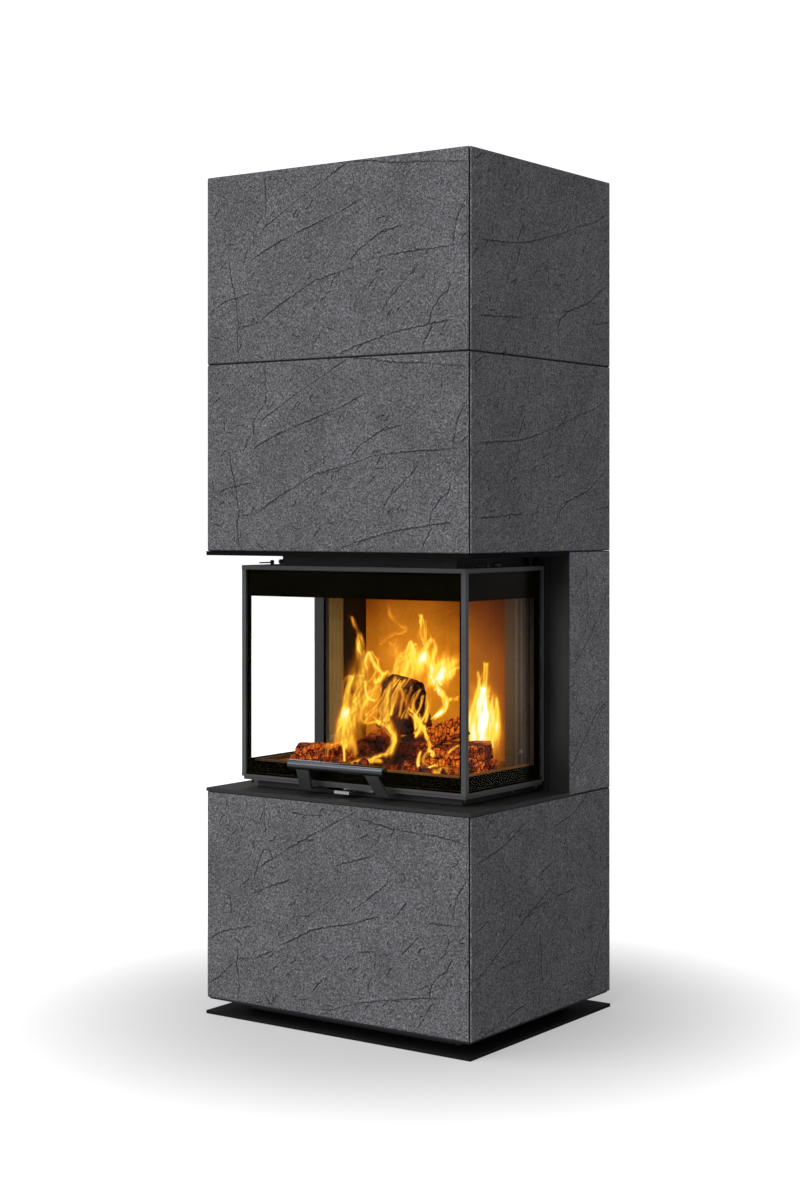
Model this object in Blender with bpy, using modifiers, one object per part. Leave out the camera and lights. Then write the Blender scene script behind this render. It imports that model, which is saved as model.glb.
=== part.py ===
"""A free-standing wood fireplace: a firebox with a three-sided glass door that lifts, clad in stone.

Metres, +Z up. The origin is the centre of the footprint on the floor, the front faces -Y.
A place is given by its distance from the outer faces of the cladding: "in" from a side face,
"back" from the front face, and "up" from the floor. Touching pieces keep the gap FIT.
"""

import math

import bmesh
import bpy
from mathutils import Matrix, Vector

# The whole body
WIDTH = 0.600
DEPTH = 0.490
FIT = 0.0003
OVERRUN = 0.010
ROUND_STEPS = 24

# The stack of blocks, from the floor up
BASE_THICK = 0.006
PLINTH_HEIGHT = 0.0247
LOWER_STONE_HEIGHT = 0.3913
SHELF_THICK = 0.007
DOOR_GAP_BELOW = 0.020
DOOR_HEIGHT = 0.402
DOOR_GAP_ABOVE = 0.019
UPPER_PLATE_THICK = 0.008
MIDDLE_STONE_HEIGHT = 0.353
TOP_STONE_HEIGHT = 0.355

# Stone cladding
STONE_THICK = 0.030
STONE_JOINT = 0.0006
STONE_CHAMFER = 0.0014
REAR_STONE_DEPTH = 0.153

# Plinth and the stand inside the lower block
PLINTH_RECESS = 0.061
PLINTH_WALL = 0.004
CARRIER_THICK = 0.003
CARRIER_RECESS = 0.005
POST_RECESS = 0.085
POST_SIZE = 0.025
STAND_RING_THICK = 0.004
FOOT_RADIUS = 0.014

# Door
DOOR_FRONT_RECESS = 0.052
DOOR_SIDE_RECESS = 0.044
DOOR_REAR_SPACE = 0.172
RAIL_HEIGHT = 0.008
RAIL_WIDTH = 0.016
CORNER_POST = 0.010
REAR_POST = 0.009
STEP_HEIGHT = 0.006
STEP_SET_BACK = 0.003
GLASS_THICK = 0.004
GLASS_SET_BACK = 0.001

# Handle
HANDLE_LENGTH = 0.216
HANDLE_RADIUS = 0.009
HANDLE_BACK = 0.0125
HANDLE_ABOVE_DOOR_BOTTOM = 0.0373
HANDLE_END_CHAMFER = 0.0015
BRACKET_SPACING = 0.156
BRACKET_WIDTH = 0.0275
BRACKET_THICK = 0.004
BRACKET_KNEE_BACK = 0.036
BRACKET_FOOT_BACK = 0.066
BRACKET_FLARE = 0.009

# Air box under the hearth, its slide and its pipe
AIR_BOX_SIDE_RECESS = 0.066
AIR_BOX_FRONT_RECESS = 0.074
AIR_BOX_WALL = 0.005
AIR_BOX_HEIGHT = 0.022
AIR_PORT_WIDTH = 0.060
AIR_PORT_HEIGHT = 0.006
LEVER_WIDTH = 0.034
LEVER_THICK = 0.003
LEVER_FRONT_BACK = 0.028
LEVER_LIP_HEIGHT = 0.0055
LEVER_LIP_THICK = 0.003
LEVER_ABOVE_SHELF = 0.0075
SLIDE_PLATE_LENGTH = 0.190
SLIDE_PLATE_THICK = 0.003
SLIDE_TRAVEL = 0.045
SLIDE_CLEARANCE = 0.001
PIPE_RADIUS = 0.050
PIPE_WALL = 0.002
PIPE_UP = 0.235
PIPE_BEND = 0.075
PIPE_BEND_STEPS = 6
PIPE_HOLE_CLEARANCE = 0.0015

# Hearth and linings
RIM_SIDE_RECESS = 0.062
RIM_FRONT_RECESS = 0.070
RIM_WIDTH = 0.010
RIM_HEIGHT = 0.030
FLOOR_THICK = 0.0235
COLUMN_SIDE_RECESS = 0.068
COLUMN_WIDTH = 0.032
COLUMN_REAR_SPACE = 0.196
COLUMN_DEPTH = 0.020
COLUMN_EDGE = 0.003
LINING_THICK = 0.030
SIDE_LINING_THICK = 0.020
SIDE_LINING_SET_BACK = 0.006
LINING_REAR_SPACE = 0.140
CENTRE_LINING_WIDTH = 0.244
SHELL_THICK = 0.003
CHAMBER_HEIGHT = 0.385

# Smoke dome, baffles and flue
DOME_SIDE_RECESS = 0.100
DOME_FRONT_RECESS = 0.107
DOME_WALL = 0.003
DOME_STRAIGHT = 0.110
DOME_HEIGHT = 0.320
DOME_TOP_DEPTH = 0.110
LEDGE_WIDTH = 0.012
LEDGE_THICK = 0.004
LEDGE_UP = 0.030
BAFFLE_THICK = 0.020
BAFFLE_BELOW_TOP = 0.031
LOWER_BAFFLE_DEPTH = 0.180
UPPER_BAFFLE_DEPTH = 0.165
FLUE_RADIUS = 0.075
FLUE_WALL = 0.002
FLUE_FLANGE = 0.013
FLUE_FLANGE_THICK = 0.003
FLUE_UP = 1.050

# Casing, liner and cover
SHEET = 0.0015
CASING_CLEARANCE = 0.0076
CASING_FLANGE = 0.0175
LINER_THICK = 0.003
LINER_END_GAP = 0.012
REAR_SHEET = 0.002
REAR_SHEET_INSET = 0.001
VENT_LENGTH = 0.110
VENT_HEIGHT = 0.008
VENT_PITCH = 0.022
VENT_ROWS = 5
VENT_UP = 0.090
VENT_SPREAD = 0.300
COVER_THICK = 0.004
COVER_RECESS = 0.006
COVER_SLOT_LENGTH = 0.380
COVER_SLOT_WIDTH = 0.010
COVER_SLOT_PITCH = 0.030
COVER_SLOTS = 9
PLATE_FRONT_WIDTH = 0.046
PLATE_SIDE_WIDTH = 0.038

# Lift: guides, carriages, chains, wheels and weights
GUIDE_SIDE_RECESS = 0.0475
GUIDE_PLATE_THICK = 0.0025
GUIDE_CLEARANCE = 0.0105
GUIDE_WALL = 0.002
GUIDE_SLOT = 0.019
GUIDE_DEPTH = 0.0115
GUIDE_RAIL_HEIGHT = 0.860
GUIDE_PLATE_HEIGHT = 1.110
GUIDE_PLATE_DEPTH = 0.1515
WEIGHT_FLANGE = 0.014
CARRIAGE_SIDE_RECESS = 0.0635
CARRIAGE_THICK = 0.003
CARRIAGE_DEPTH = 0.037
SHOE_HEIGHT = 0.050
SHOE_CLEARANCE = 0.0005
SHOE_END_MARGIN = 0.020
CLAMP_HEIGHT = 0.040
CLAMP_DEPTH = 0.010
WHEEL_PITCH_RADIUS = 0.0605
WHEEL_BEHIND_GUIDE = 0.066
WHEEL_WIDTH = 0.008
WHEEL_SIDE_RECESS = 0.079
WHEEL_HOLE_RADIUS = 0.013
WHEEL_HOLES = 5
WHEEL_HOLE_SHARE = 0.55
LOWER_WHEEL_UP = 0.530
UPPER_WHEEL_UP = 1.470
CHAIN_THICK = 0.0054
SHAFT_RADIUS = 0.006
BORE_CLEARANCE = 0.0005
BOSS_RADIUS = 0.014
BOSS_LENGTH = 0.010
WEIGHT_BEHIND_GUIDE = 0.0465
WEIGHT_HEIGHT = 0.216
WEIGHT_UP = 1.230
WEIGHT_EDGE = 0.002

# Firewood. The stack's unit is the hearth's half width, or less on a shallow hearth. In that unit:
# radius, then height over width, length, place across, place back from the hearth's middle, then
# the layer and the turn in degrees.
STACK_SHARE = 2 / 3
LOG_SHARES = {
    "log_left": (0.278, 1.00, 1.056, -0.305, 0.054, 0, 117.0),
    "log_right": (0.278, 1.00, 1.003, 0.690, -0.240, 0, 18.0),
    "log_top": (0.200, 2.32, 0.917, 0.050, 0.000, 1, 143.0),
    "log_small": (0.189, 1.00, 0.470, -0.695, -0.480, 0, 12.0),
}
LOG_STEPS = 9
LOG_FLAT_SHARE = 0.28

# Heights that follow from the stack
UP_BASE = BASE_THICK
UP_STONE = UP_BASE + PLINTH_HEIGHT
UP_CARRIER = UP_STONE - CARRIER_THICK
UP_SHELF_UNDER = UP_STONE + LOWER_STONE_HEIGHT
UP_SHELF = UP_SHELF_UNDER + SHELF_THICK
UP_DOOR = UP_SHELF + DOOR_GAP_BELOW
UP_DOOR_TOP = UP_DOOR + DOOR_HEIGHT
UP_PLATE_UNDER = UP_DOOR_TOP + DOOR_GAP_ABOVE
UP_PLATE = UP_PLATE_UNDER + UPPER_PLATE_THICK
UP_SEAM = UP_PLATE + MIDDLE_STONE_HEIGHT
UP_TOP = UP_SEAM + TOP_STONE_HEIGHT
UP_COVER = UP_TOP - COVER_RECESS - COVER_THICK
UP_AIR_BOX = UP_SHELF + AIR_BOX_HEIGHT
UP_FLOOR = UP_AIR_BOX + FLOOR_THICK
UP_CHAMBER = UP_AIR_BOX + CHAMBER_HEIGHT
UP_BAFFLE = UP_CHAMBER - BAFFLE_BELOW_TOP

# Depths that follow from the pieces
REAR_STONE_BACK = DEPTH - REAR_STONE_DEPTH
DOOR_END_BACK = DEPTH - DOOR_REAR_SPACE
COLUMN_FRONT_BACK = DEPTH - COLUMN_REAR_SPACE
SIDE_LINING_FRONT_BACK = COLUMN_FRONT_BACK + SIDE_LINING_SET_BACK
COLUMN_SHEET_BACK = DOOR_END_BACK + CASING_CLEARANCE
GUIDE_BACK = DOOR_END_BACK + GUIDE_CLEARANCE
WHEEL_BACK = GUIDE_BACK + WHEEL_BEHIND_GUIDE
WEIGHT_FRONT_BACK = GUIDE_BACK + WEIGHT_BEHIND_GUIDE
LINING_BACK = DEPTH - LINING_REAR_SPACE
LINING_REAR = LINING_BACK + LINING_THICK
SHELL_REAR = LINING_REAR + FIT + SHELL_THICK
COLUMN_INNER = COLUMN_SIDE_RECESS + COLUMN_WIDTH
WHEEL_INNER = WHEEL_SIDE_RECESS + WHEEL_WIDTH

SIDES = {"left": -1, "right": 1}
PAINTS = {
    "stone": ((0.118, 0.121, 0.128), 0.62, 0.0),
    "black_steel": ((0.030, 0.030, 0.032), 0.50, 0.7),
    "profile_steel": ((0.055, 0.060, 0.068), 0.38, 0.9),
    "zinc_steel": ((0.42, 0.43, 0.44), 0.42, 1.0),
    "handle_steel": ((0.14, 0.15, 0.17), 0.22, 1.0),
    "heat_steel": ((0.21, 0.165, 0.12), 0.45, 0.8),
    "lining": ((0.62, 0.40, 0.20), 0.90, 0.0),
    "glass": ((0.75, 0.80, 0.80), 0.05, 0.0),
    "weight_iron": ((0.10, 0.10, 0.10), 0.60, 0.6),
    "wood": ((0.20, 0.10, 0.05), 0.90, 0.0),
}


def clear_scene():
    """Empty the scene and return the collections for the pieces and for the tools that shape them."""
    for old in list(bpy.data.objects):
        bpy.data.objects.remove(old)
    groups = []
    for name in ("fireplace", "cutters"):
        group = bpy.data.collections.new(name)
        bpy.context.scene.collection.children.link(group)
        groups.append(group)
    return groups


PIECES, CUTTERS = clear_scene()


def paint(name):
    """The material of one finish, made on first use."""
    found = bpy.data.materials.get(name)
    if found:
        return found
    colour, roughness, metallic = PAINTS[name]
    made = bpy.data.materials.new(name)
    made.use_nodes = True
    shader = made.node_tree.nodes["Principled BSDF"]
    shader.inputs["Base Color"].default_value = (*colour, 1)
    shader.inputs["Roughness"].default_value = roughness
    shader.inputs["Metallic"].default_value = metallic
    made.diffuse_color = (*colour, 1)
    return made


def side_x(side, inwards):
    """The place across, at a distance in from the left or right face."""
    return SIDES[side] * (WIDTH / 2 - inwards)


def back_y(back):
    """The place along the depth, at a distance back from the front face."""
    return back - DEPTH / 2


def new_object(name, mesh, finish):
    """A mesh object among the pieces, or among the cutters where it has no finish."""
    made = bpy.data.objects.new(name, mesh)
    if finish is None:
        made.hide_render = True
        made.display_type = "WIRE"
        CUTTERS.objects.link(made)
    else:
        mesh.materials.append(paint(finish))
        PIECES.objects.link(made)
    return made


def box(name, corner, other, finish=None):
    """A box between two opposite corners."""
    low = Vector(map(min, corner, other))
    high = Vector(map(max, corner, other))
    work = bmesh.new()
    bmesh.ops.create_cube(work, size=1)
    bmesh.ops.scale(work, vec=high - low, verts=work.verts)
    mesh = bpy.data.meshes.new(name)
    work.to_mesh(mesh)
    work.free()
    made = new_object(name, mesh, finish)
    made.location = (low + high) / 2
    return made


def side_box(name, side, inwards, back, up, finish=None):
    """A box on one side, from three spans: in from the side face, back from the front, and up."""
    return box(
        name,
        (side_x(side, inwards[0]), back_y(back[0]), up[0]),
        (side_x(side, inwards[1]), back_y(back[1]), up[1]),
        finish,
    )


def centred_box(name, half_width, back, up, finish=None):
    """A box across the middle, from its half width and its spans back and up."""
    return box(name, (-half_width, back_y(back[0]), up[0]), (half_width, back_y(back[1]), up[1]), finish)


def rod(name, radius, start, length, along, finish=None):
    """A round rod from a point along X, Y or Z."""
    work = bmesh.new()
    bmesh.ops.create_cone(
        work, cap_ends=True, segments=ROUND_STEPS, radius1=radius, radius2=radius, depth=length
    )
    turn = {
        "X": Matrix.Rotation(math.pi / 2, 4, "Y"),
        "Y": Matrix.Rotation(-math.pi / 2, 4, "X"),
        "Z": Matrix.Identity(4),
    }[along]
    bmesh.ops.transform(work, matrix=turn @ Matrix.Translation((0, 0, length / 2)), verts=work.verts)
    mesh = bpy.data.meshes.new(name)
    work.to_mesh(mesh)
    work.free()
    made = new_object(name, mesh, finish)
    made.location = start
    smooth(made)
    return made


def slab(name, outlines, thick, place, turn, finish):
    """A flat outline, with any further outlines as its holes, given a thickness and made a mesh."""
    curve = bpy.data.curves.new(name, "CURVE")
    curve.dimensions = "2D"
    curve.fill_mode = "BOTH"
    curve.extrude = thick / 2
    for outline in outlines:
        line = curve.splines.new("POLY")
        line.points.add(len(outline) - 1)
        for point, (across, along) in zip(line.points, outline):
            point.co = (across, along, 0, 1)
        line.use_cyclic_u = True
    guide = bpy.data.objects.new(name, curve)
    PIECES.objects.link(guide)
    guide.location = place
    guide.rotation_euler = turn
    bpy.context.view_layer.update()
    shape = guide.evaluated_get(bpy.context.evaluated_depsgraph_get())
    mesh = bpy.data.meshes.new_from_object(shape)
    matrix = guide.matrix_world.copy()
    bpy.data.objects.remove(guide)
    work = bmesh.new()
    work.from_mesh(mesh)
    bmesh.ops.remove_doubles(work, verts=work.verts, dist=FIT / 100)
    bmesh.ops.recalc_face_normals(work, faces=work.faces)
    work.to_mesh(mesh)
    work.free()
    mesh.materials.clear()
    made = new_object(name, mesh, finish)
    made.name = name
    made.matrix_world = matrix
    return made


def plan_slab(name, outlines, low, high, finish=None):
    """A slab whose outline is seen from above, between two heights."""
    return slab(name, outlines, high - low, (0, 0, (low + high) / 2), (0, 0, 0), finish)


def profile_slab(name, outlines, left, right, finish=None):
    """A slab whose outline is (depth, height), seen from the side, between two places across."""
    turn = (math.pi / 2, 0, math.pi / 2)
    return slab(name, outlines, right - left, ((left + right) / 2, 0, 0), turn, finish)


def u_outline(side_out, side_in, front_out, front_in, back):
    """A U seen from above, open to the rear: recesses of its outer and inner edges, and its rear ends."""
    outer, inner = WIDTH / 2 - side_out, WIDTH / 2 - side_in
    return [
        (-outer, back_y(front_out)),
        (outer, back_y(front_out)),
        (outer, back_y(back)),
        (inner, back_y(back)),
        (inner, back_y(front_in)),
        (-inner, back_y(front_in)),
        (-inner, back_y(back)),
        (-outer, back_y(back)),
    ]


def ring_outlines(out, inner):
    """A rectangle seen from above with a rectangular hole, by the recesses of both."""
    return [
        [
            (-(WIDTH / 2 - recess), back_y(recess)),
            (WIDTH / 2 - recess, back_y(recess)),
            (WIDTH / 2 - recess, back_y(DEPTH - recess)),
            (-(WIDTH / 2 - recess), back_y(DEPTH - recess)),
        ]
        for recess in (out, inner)
    ]


def circle(across, along, radius):
    """The points of a circle in an outline."""
    turns = [2 * math.pi * step / ROUND_STEPS for step in range(ROUND_STEPS)]
    return [(across + radius * math.cos(turn), along + radius * math.sin(turn)) for turn in turns]


def combine(target, operation, others):
    """Join shapes to a piece or cut them from it. They stay as hidden tools."""
    for other in others:
        step = target.modifiers.new(operation.lower(), "BOOLEAN")
        step.operation = operation
        step.solver = "EXACT"
        step.object = other


def chamfer(target, width):
    """A small flat edge all round a piece."""
    edge = target.modifiers.new("chamfer", "BEVEL")
    edge.width = width
    edge.segments = 1
    edge.limit_method = "ANGLE"


def smooth(target):
    """Shade round faces smooth and keep the sharp edges."""
    target.data.shade_smooth()
    target.data.set_sharp_from_angle(angle=math.radians(40))


def make_base():
    """The floor plate, the recessed plinth and the welded stand inside the lower block."""
    box("base_plate", (-WIDTH / 2, -DEPTH / 2, 0), (WIDTH / 2, DEPTH / 2, UP_BASE), "black_steel")
    plinth = ring_outlines(PLINTH_RECESS, PLINTH_RECESS + PLINTH_WALL)
    plan_slab("plinth", plinth, UP_BASE + FIT, UP_CARRIER, "black_steel")
    inner = POST_RECESS + POST_SIZE
    carrier = ring_outlines(CARRIER_RECESS, inner)
    stand = plan_slab("stand_frame", carrier, UP_CARRIER + FIT, UP_STONE, "black_steel")
    ring = ring_outlines(STONE_THICK + STAND_RING_THICK, inner)
    ring_low = UP_SHELF_UNDER - STAND_RING_THICK
    tools = [plan_slab("stand_ring", ring, ring_low, UP_SHELF_UNDER)]
    middle = POST_RECESS + POST_SIZE / 2
    for side in SIDES:
        for end, back in (("front", POST_RECESS), ("rear", DEPTH - inner)):
            tools.append(
                side_box(
                    f"stand_post_{end}_{side}",
                    side,
                    (POST_RECESS, inner - FIT),
                    (back + FIT, back + POST_SIZE - FIT),
                    (UP_CARRIER + CARRIER_THICK / 2, UP_SHELF_UNDER - STAND_RING_THICK / 2),
                )
            )
            foot = (side_x(side, middle), back_y(back + POST_SIZE / 2), UP_BASE + FIT)
            tools.append(
                rod(f"stand_foot_{end}_{side}", FOOT_RADIUS, foot, PLINTH_HEIGHT - CARRIER_THICK / 2, "Z")
            )
    combine(stand, "UNION", tools)


def front_stone(name, low, high):
    """A front slab of the cladding, mitred at both ends."""
    outer = WIDTH / 2 - STONE_JOINT * math.sqrt(0.5)
    inner = outer - STONE_THICK
    outline = [
        (-outer, back_y(0)),
        (outer, back_y(0)),
        (inner, back_y(STONE_THICK)),
        (-inner, back_y(STONE_THICK)),
    ]
    chamfer(plan_slab(name, [outline], low, high, "stone"), STONE_CHAMFER)


def side_stone(name, side, low, high):
    """A side slab of the cladding, mitred at the front and square at the rear."""
    start = STONE_JOINT * math.sqrt(0.5)
    outline = [
        (side_x(side, 0), back_y(start)),
        (side_x(side, 0), back_y(DEPTH)),
        (side_x(side, STONE_THICK), back_y(DEPTH)),
        (side_x(side, STONE_THICK), back_y(start + STONE_THICK)),
    ]
    chamfer(plan_slab(name, [outline], low, high, "stone"), STONE_CHAMFER)


def make_cladding():
    """Three tiers of stone, and the narrow stones beside the casing at the height of the door."""
    tiers = {
        "lower": (UP_STONE + FIT, UP_SHELF_UNDER),
        "middle": (UP_PLATE + FIT, UP_SEAM),
        "top": (UP_SEAM + STONE_JOINT, UP_TOP),
    }
    for tier, (low, high) in tiers.items():
        front_stone(f"{tier}_front_stone", low, high)
        for side in SIDES:
            side_stone(f"{tier}_{side}_stone", side, low, high)
    for side in SIDES:
        stone = side_box(
            f"rear_{side}_stone",
            side,
            (0, STONE_THICK),
            (REAR_STONE_BACK, DEPTH),
            (UP_SHELF_UNDER + STONE_JOINT, UP_PLATE + FIT - STONE_JOINT),
            "stone",
        )
        chamfer(stone, STONE_CHAMFER)


def make_plates():
    """The shelf under the door, the plate over it, the liner behind the upper stones and the cover."""
    step = REAR_STONE_BACK - FIT
    rear = DEPTH - REAR_SHEET_INSET - REAR_SHEET - FIT
    narrow = WIDTH / 2 - STONE_THICK - FIT
    outline = [
        (-WIDTH / 2, back_y(0)),
        (WIDTH / 2, back_y(0)),
        (WIDTH / 2, back_y(step)),
        (narrow, back_y(step)),
        (narrow, back_y(rear)),
        (-narrow, back_y(rear)),
        (-narrow, back_y(step)),
        (-WIDTH / 2, back_y(step)),
    ]
    hole = circle(0, back_y(pipe_back()), PIPE_RADIUS + PIPE_HOLE_CLEARANCE)
    plan_slab("shelf_plate", [outline, hole], UP_SHELF_UNDER + FIT, UP_SHELF, "black_steel")
    upper = u_outline(0, PLATE_SIDE_WIDTH, 0, PLATE_FRONT_WIDTH, step)
    plan_slab("upper_plate", [upper], UP_PLATE_UNDER, UP_PLATE, "black_steel")
    out = STONE_THICK + FIT
    liner = u_outline(out, out + LINER_THICK, out, out + LINER_THICK, DEPTH - LINER_END_GAP)
    plan_slab("upper_liner", [liner], UP_PLATE + FIT, UP_COVER, "zinc_steel")
    cover = centred_box(
        "top_cover", narrow, (out, rear), (UP_COVER + FIT, UP_COVER + COVER_THICK), "black_steel"
    )
    first = (out + rear - (COVER_SLOTS - 1) * COVER_SLOT_PITCH) / 2
    slots = []
    for index in range(COVER_SLOTS):
        middle = first + index * COVER_SLOT_PITCH
        slots.append(
            centred_box(
                f"cover_slot_{index}",
                COVER_SLOT_LENGTH / 2,
                (middle - COVER_SLOT_WIDTH / 2, middle + COVER_SLOT_WIDTH / 2),
                (UP_COVER - OVERRUN, UP_COVER + COVER_THICK + OVERRUN),
            )
        )
    combine(cover, "DIFFERENCE", slots)


def make_casing():
    """The dark sheets beside the rear of the door, and the rear panel with its holes."""
    for side in SIDES:
        inner = DOOR_SIDE_RECESS + SHEET
        outline = [
            (side_x(side, DOOR_SIDE_RECESS), back_y(COLUMN_SHEET_BACK)),
            (side_x(side, DOOR_SIDE_RECESS + CASING_FLANGE), back_y(COLUMN_SHEET_BACK)),
            (side_x(side, DOOR_SIDE_RECESS + CASING_FLANGE), back_y(COLUMN_SHEET_BACK + SHEET)),
            (side_x(side, inner), back_y(COLUMN_SHEET_BACK + SHEET)),
            (side_x(side, inner), back_y(DEPTH - LINER_END_GAP)),
            (side_x(side, DOOR_SIDE_RECESS), back_y(DEPTH - LINER_END_GAP)),
        ]
        plan_slab(f"casing_side_{side}", [outline], UP_SHELF + FIT, UP_PLATE_UNDER - FIT, "black_steel")
    back = (DEPTH - REAR_SHEET_INSET - REAR_SHEET, DEPTH - REAR_SHEET_INSET)
    half = WIDTH / 2 - STONE_THICK - FIT
    panel = centred_box("rear_panel", half, back, (UP_STONE + FIT, UP_COVER), "black_steel")
    through = back_y(back[0] - OVERRUN)
    length = REAR_SHEET + 2 * OVERRUN
    tools = [
        rod("flue_hole", FLUE_RADIUS + PIPE_HOLE_CLEARANCE, (0, through, FLUE_UP), length, "Y"),
        rod("pipe_hole", PIPE_RADIUS + PIPE_HOLE_CLEARANCE, (0, through, PIPE_UP), length, "Y"),
    ]
    for row in range(VENT_ROWS):
        low = VENT_UP + row * VENT_PITCH
        for number, across in enumerate((-VENT_SPREAD / 2, VENT_SPREAD / 2)):
            tools.append(
                box(
                    f"vent_{row}_{number}",
                    (across - VENT_LENGTH / 2, back_y(back[0] - OVERRUN), low),
                    (across + VENT_LENGTH / 2, back_y(back[1] + OVERRUN), low + VENT_HEIGHT),
                )
            )
    combine(panel, "DIFFERENCE", tools)


def pipe_back():
    """How far back the air pipe rises: behind the middle of the air box."""
    return (AIR_BOX_FRONT_RECESS + SHELL_REAR) / 2


def make_air():
    """The open air box under the hearth, the slide in its front and the pipe that feeds it."""
    half = WIDTH / 2 - AIR_BOX_SIDE_RECESS
    spans = (AIR_BOX_FRONT_RECESS, SHELL_REAR), (UP_SHELF + FIT, UP_AIR_BOX)
    air_box = centred_box("air_box", half, *spans, "black_steel")
    floor = UP_SHELF + FIT + AIR_BOX_WALL / 2
    inside = (AIR_BOX_FRONT_RECESS + AIR_BOX_WALL, SHELL_REAR - AIR_BOX_WALL)
    lever_low = UP_SHELF + LEVER_ABOVE_SHELF
    slot_half = LEVER_WIDTH / 2 + SLIDE_TRAVEL + SLIDE_CLEARANCE
    front = (AIR_BOX_FRONT_RECESS - OVERRUN, AIR_BOX_FRONT_RECESS + AIR_BOX_WALL + FIT)
    slot_up = (lever_low - SLIDE_CLEARANCE, lever_low + LEVER_THICK + SLIDE_CLEARANCE)
    pipe_top = (0, back_y(pipe_back()), UP_SHELF - OVERRUN)
    hollow = centred_box("air_hollow", half - AIR_BOX_WALL, inside, (floor, UP_AIR_BOX + OVERRUN))
    tools = [
        hollow,
        centred_box("lever_slot", slot_half, front, slot_up),
        rod("air_port", PIPE_RADIUS - PIPE_WALL, pipe_top, 2 * OVERRUN, "Z"),
    ]
    combine(air_box, "DIFFERENCE", tools)

    plate_front = inside[0] + SLIDE_CLEARANCE
    plate_up = (floor + FIT, UP_AIR_BOX - SLIDE_CLEARANCE)
    plate_back = (plate_front, plate_front + SLIDE_PLATE_THICK)
    slide = centred_box("air_slide", SLIDE_PLATE_LENGTH / 2, plate_back, plate_up, "zinc_steel")
    lip_back = (LEVER_FRONT_BACK, LEVER_FRONT_BACK + LEVER_LIP_THICK)
    lip_up = (lever_low, lever_low + LEVER_LIP_HEIGHT)
    lever_back = (LEVER_FRONT_BACK + LEVER_LIP_THICK / 2, plate_front + SLIDE_PLATE_THICK / 2)
    lever = centred_box("lever_strap", LEVER_WIDTH / 2, lever_back, (lever_low, lever_low + LEVER_THICK))
    combine(slide, "UNION", [lever, centred_box("lever_lip", LEVER_WIDTH / 2, lip_back, lip_up)])
    ports = []
    for side in SIDES:
        edge = SIDES[side] * LEVER_WIDTH
        far = SIDES[side] * (LEVER_WIDTH + AIR_PORT_WIDTH)
        ports.append(
            box(
                f"slide_port_{side}",
                (edge, back_y(plate_front - OVERRUN), plate_up[0] + AIR_PORT_HEIGHT / 2),
                (far, back_y(plate_front + OVERRUN), plate_up[0] + 1.5 * AIR_PORT_HEIGHT),
            )
        )
    combine(slide, "DIFFERENCE", ports)

    rise = UP_SHELF - PIPE_UP
    bend = [
        (
            pipe_back() + PIPE_BEND * (1 - math.sin(math.pi / 2 * step / PIPE_BEND_STEPS)),
            PIPE_UP + PIPE_BEND * (1 - math.cos(math.pi / 2 * step / PIPE_BEND_STEPS)),
        )
        for step in range(PIPE_BEND_STEPS + 1)
    ]
    route = [(DEPTH, PIPE_UP), *bend, (pipe_back(), PIPE_UP + rise)]
    curve = bpy.data.curves.new("air_pipe", "CURVE")
    curve.dimensions = "3D"
    curve.bevel_depth = PIPE_RADIUS
    curve.bevel_resolution = 4
    line = curve.splines.new("POLY")
    line.points.add(len(route) - 1)
    for point, (back, up) in zip(line.points, route):
        point.co = (0, back_y(back), up, 1)
    pipe = bpy.data.objects.new("air_pipe", curve)
    curve.materials.append(paint("zinc_steel"))
    PIECES.objects.link(pipe)
    wall = pipe.modifiers.new("wall", "SOLIDIFY")
    wall.thickness = PIPE_WALL
    wall.offset = -1


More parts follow.
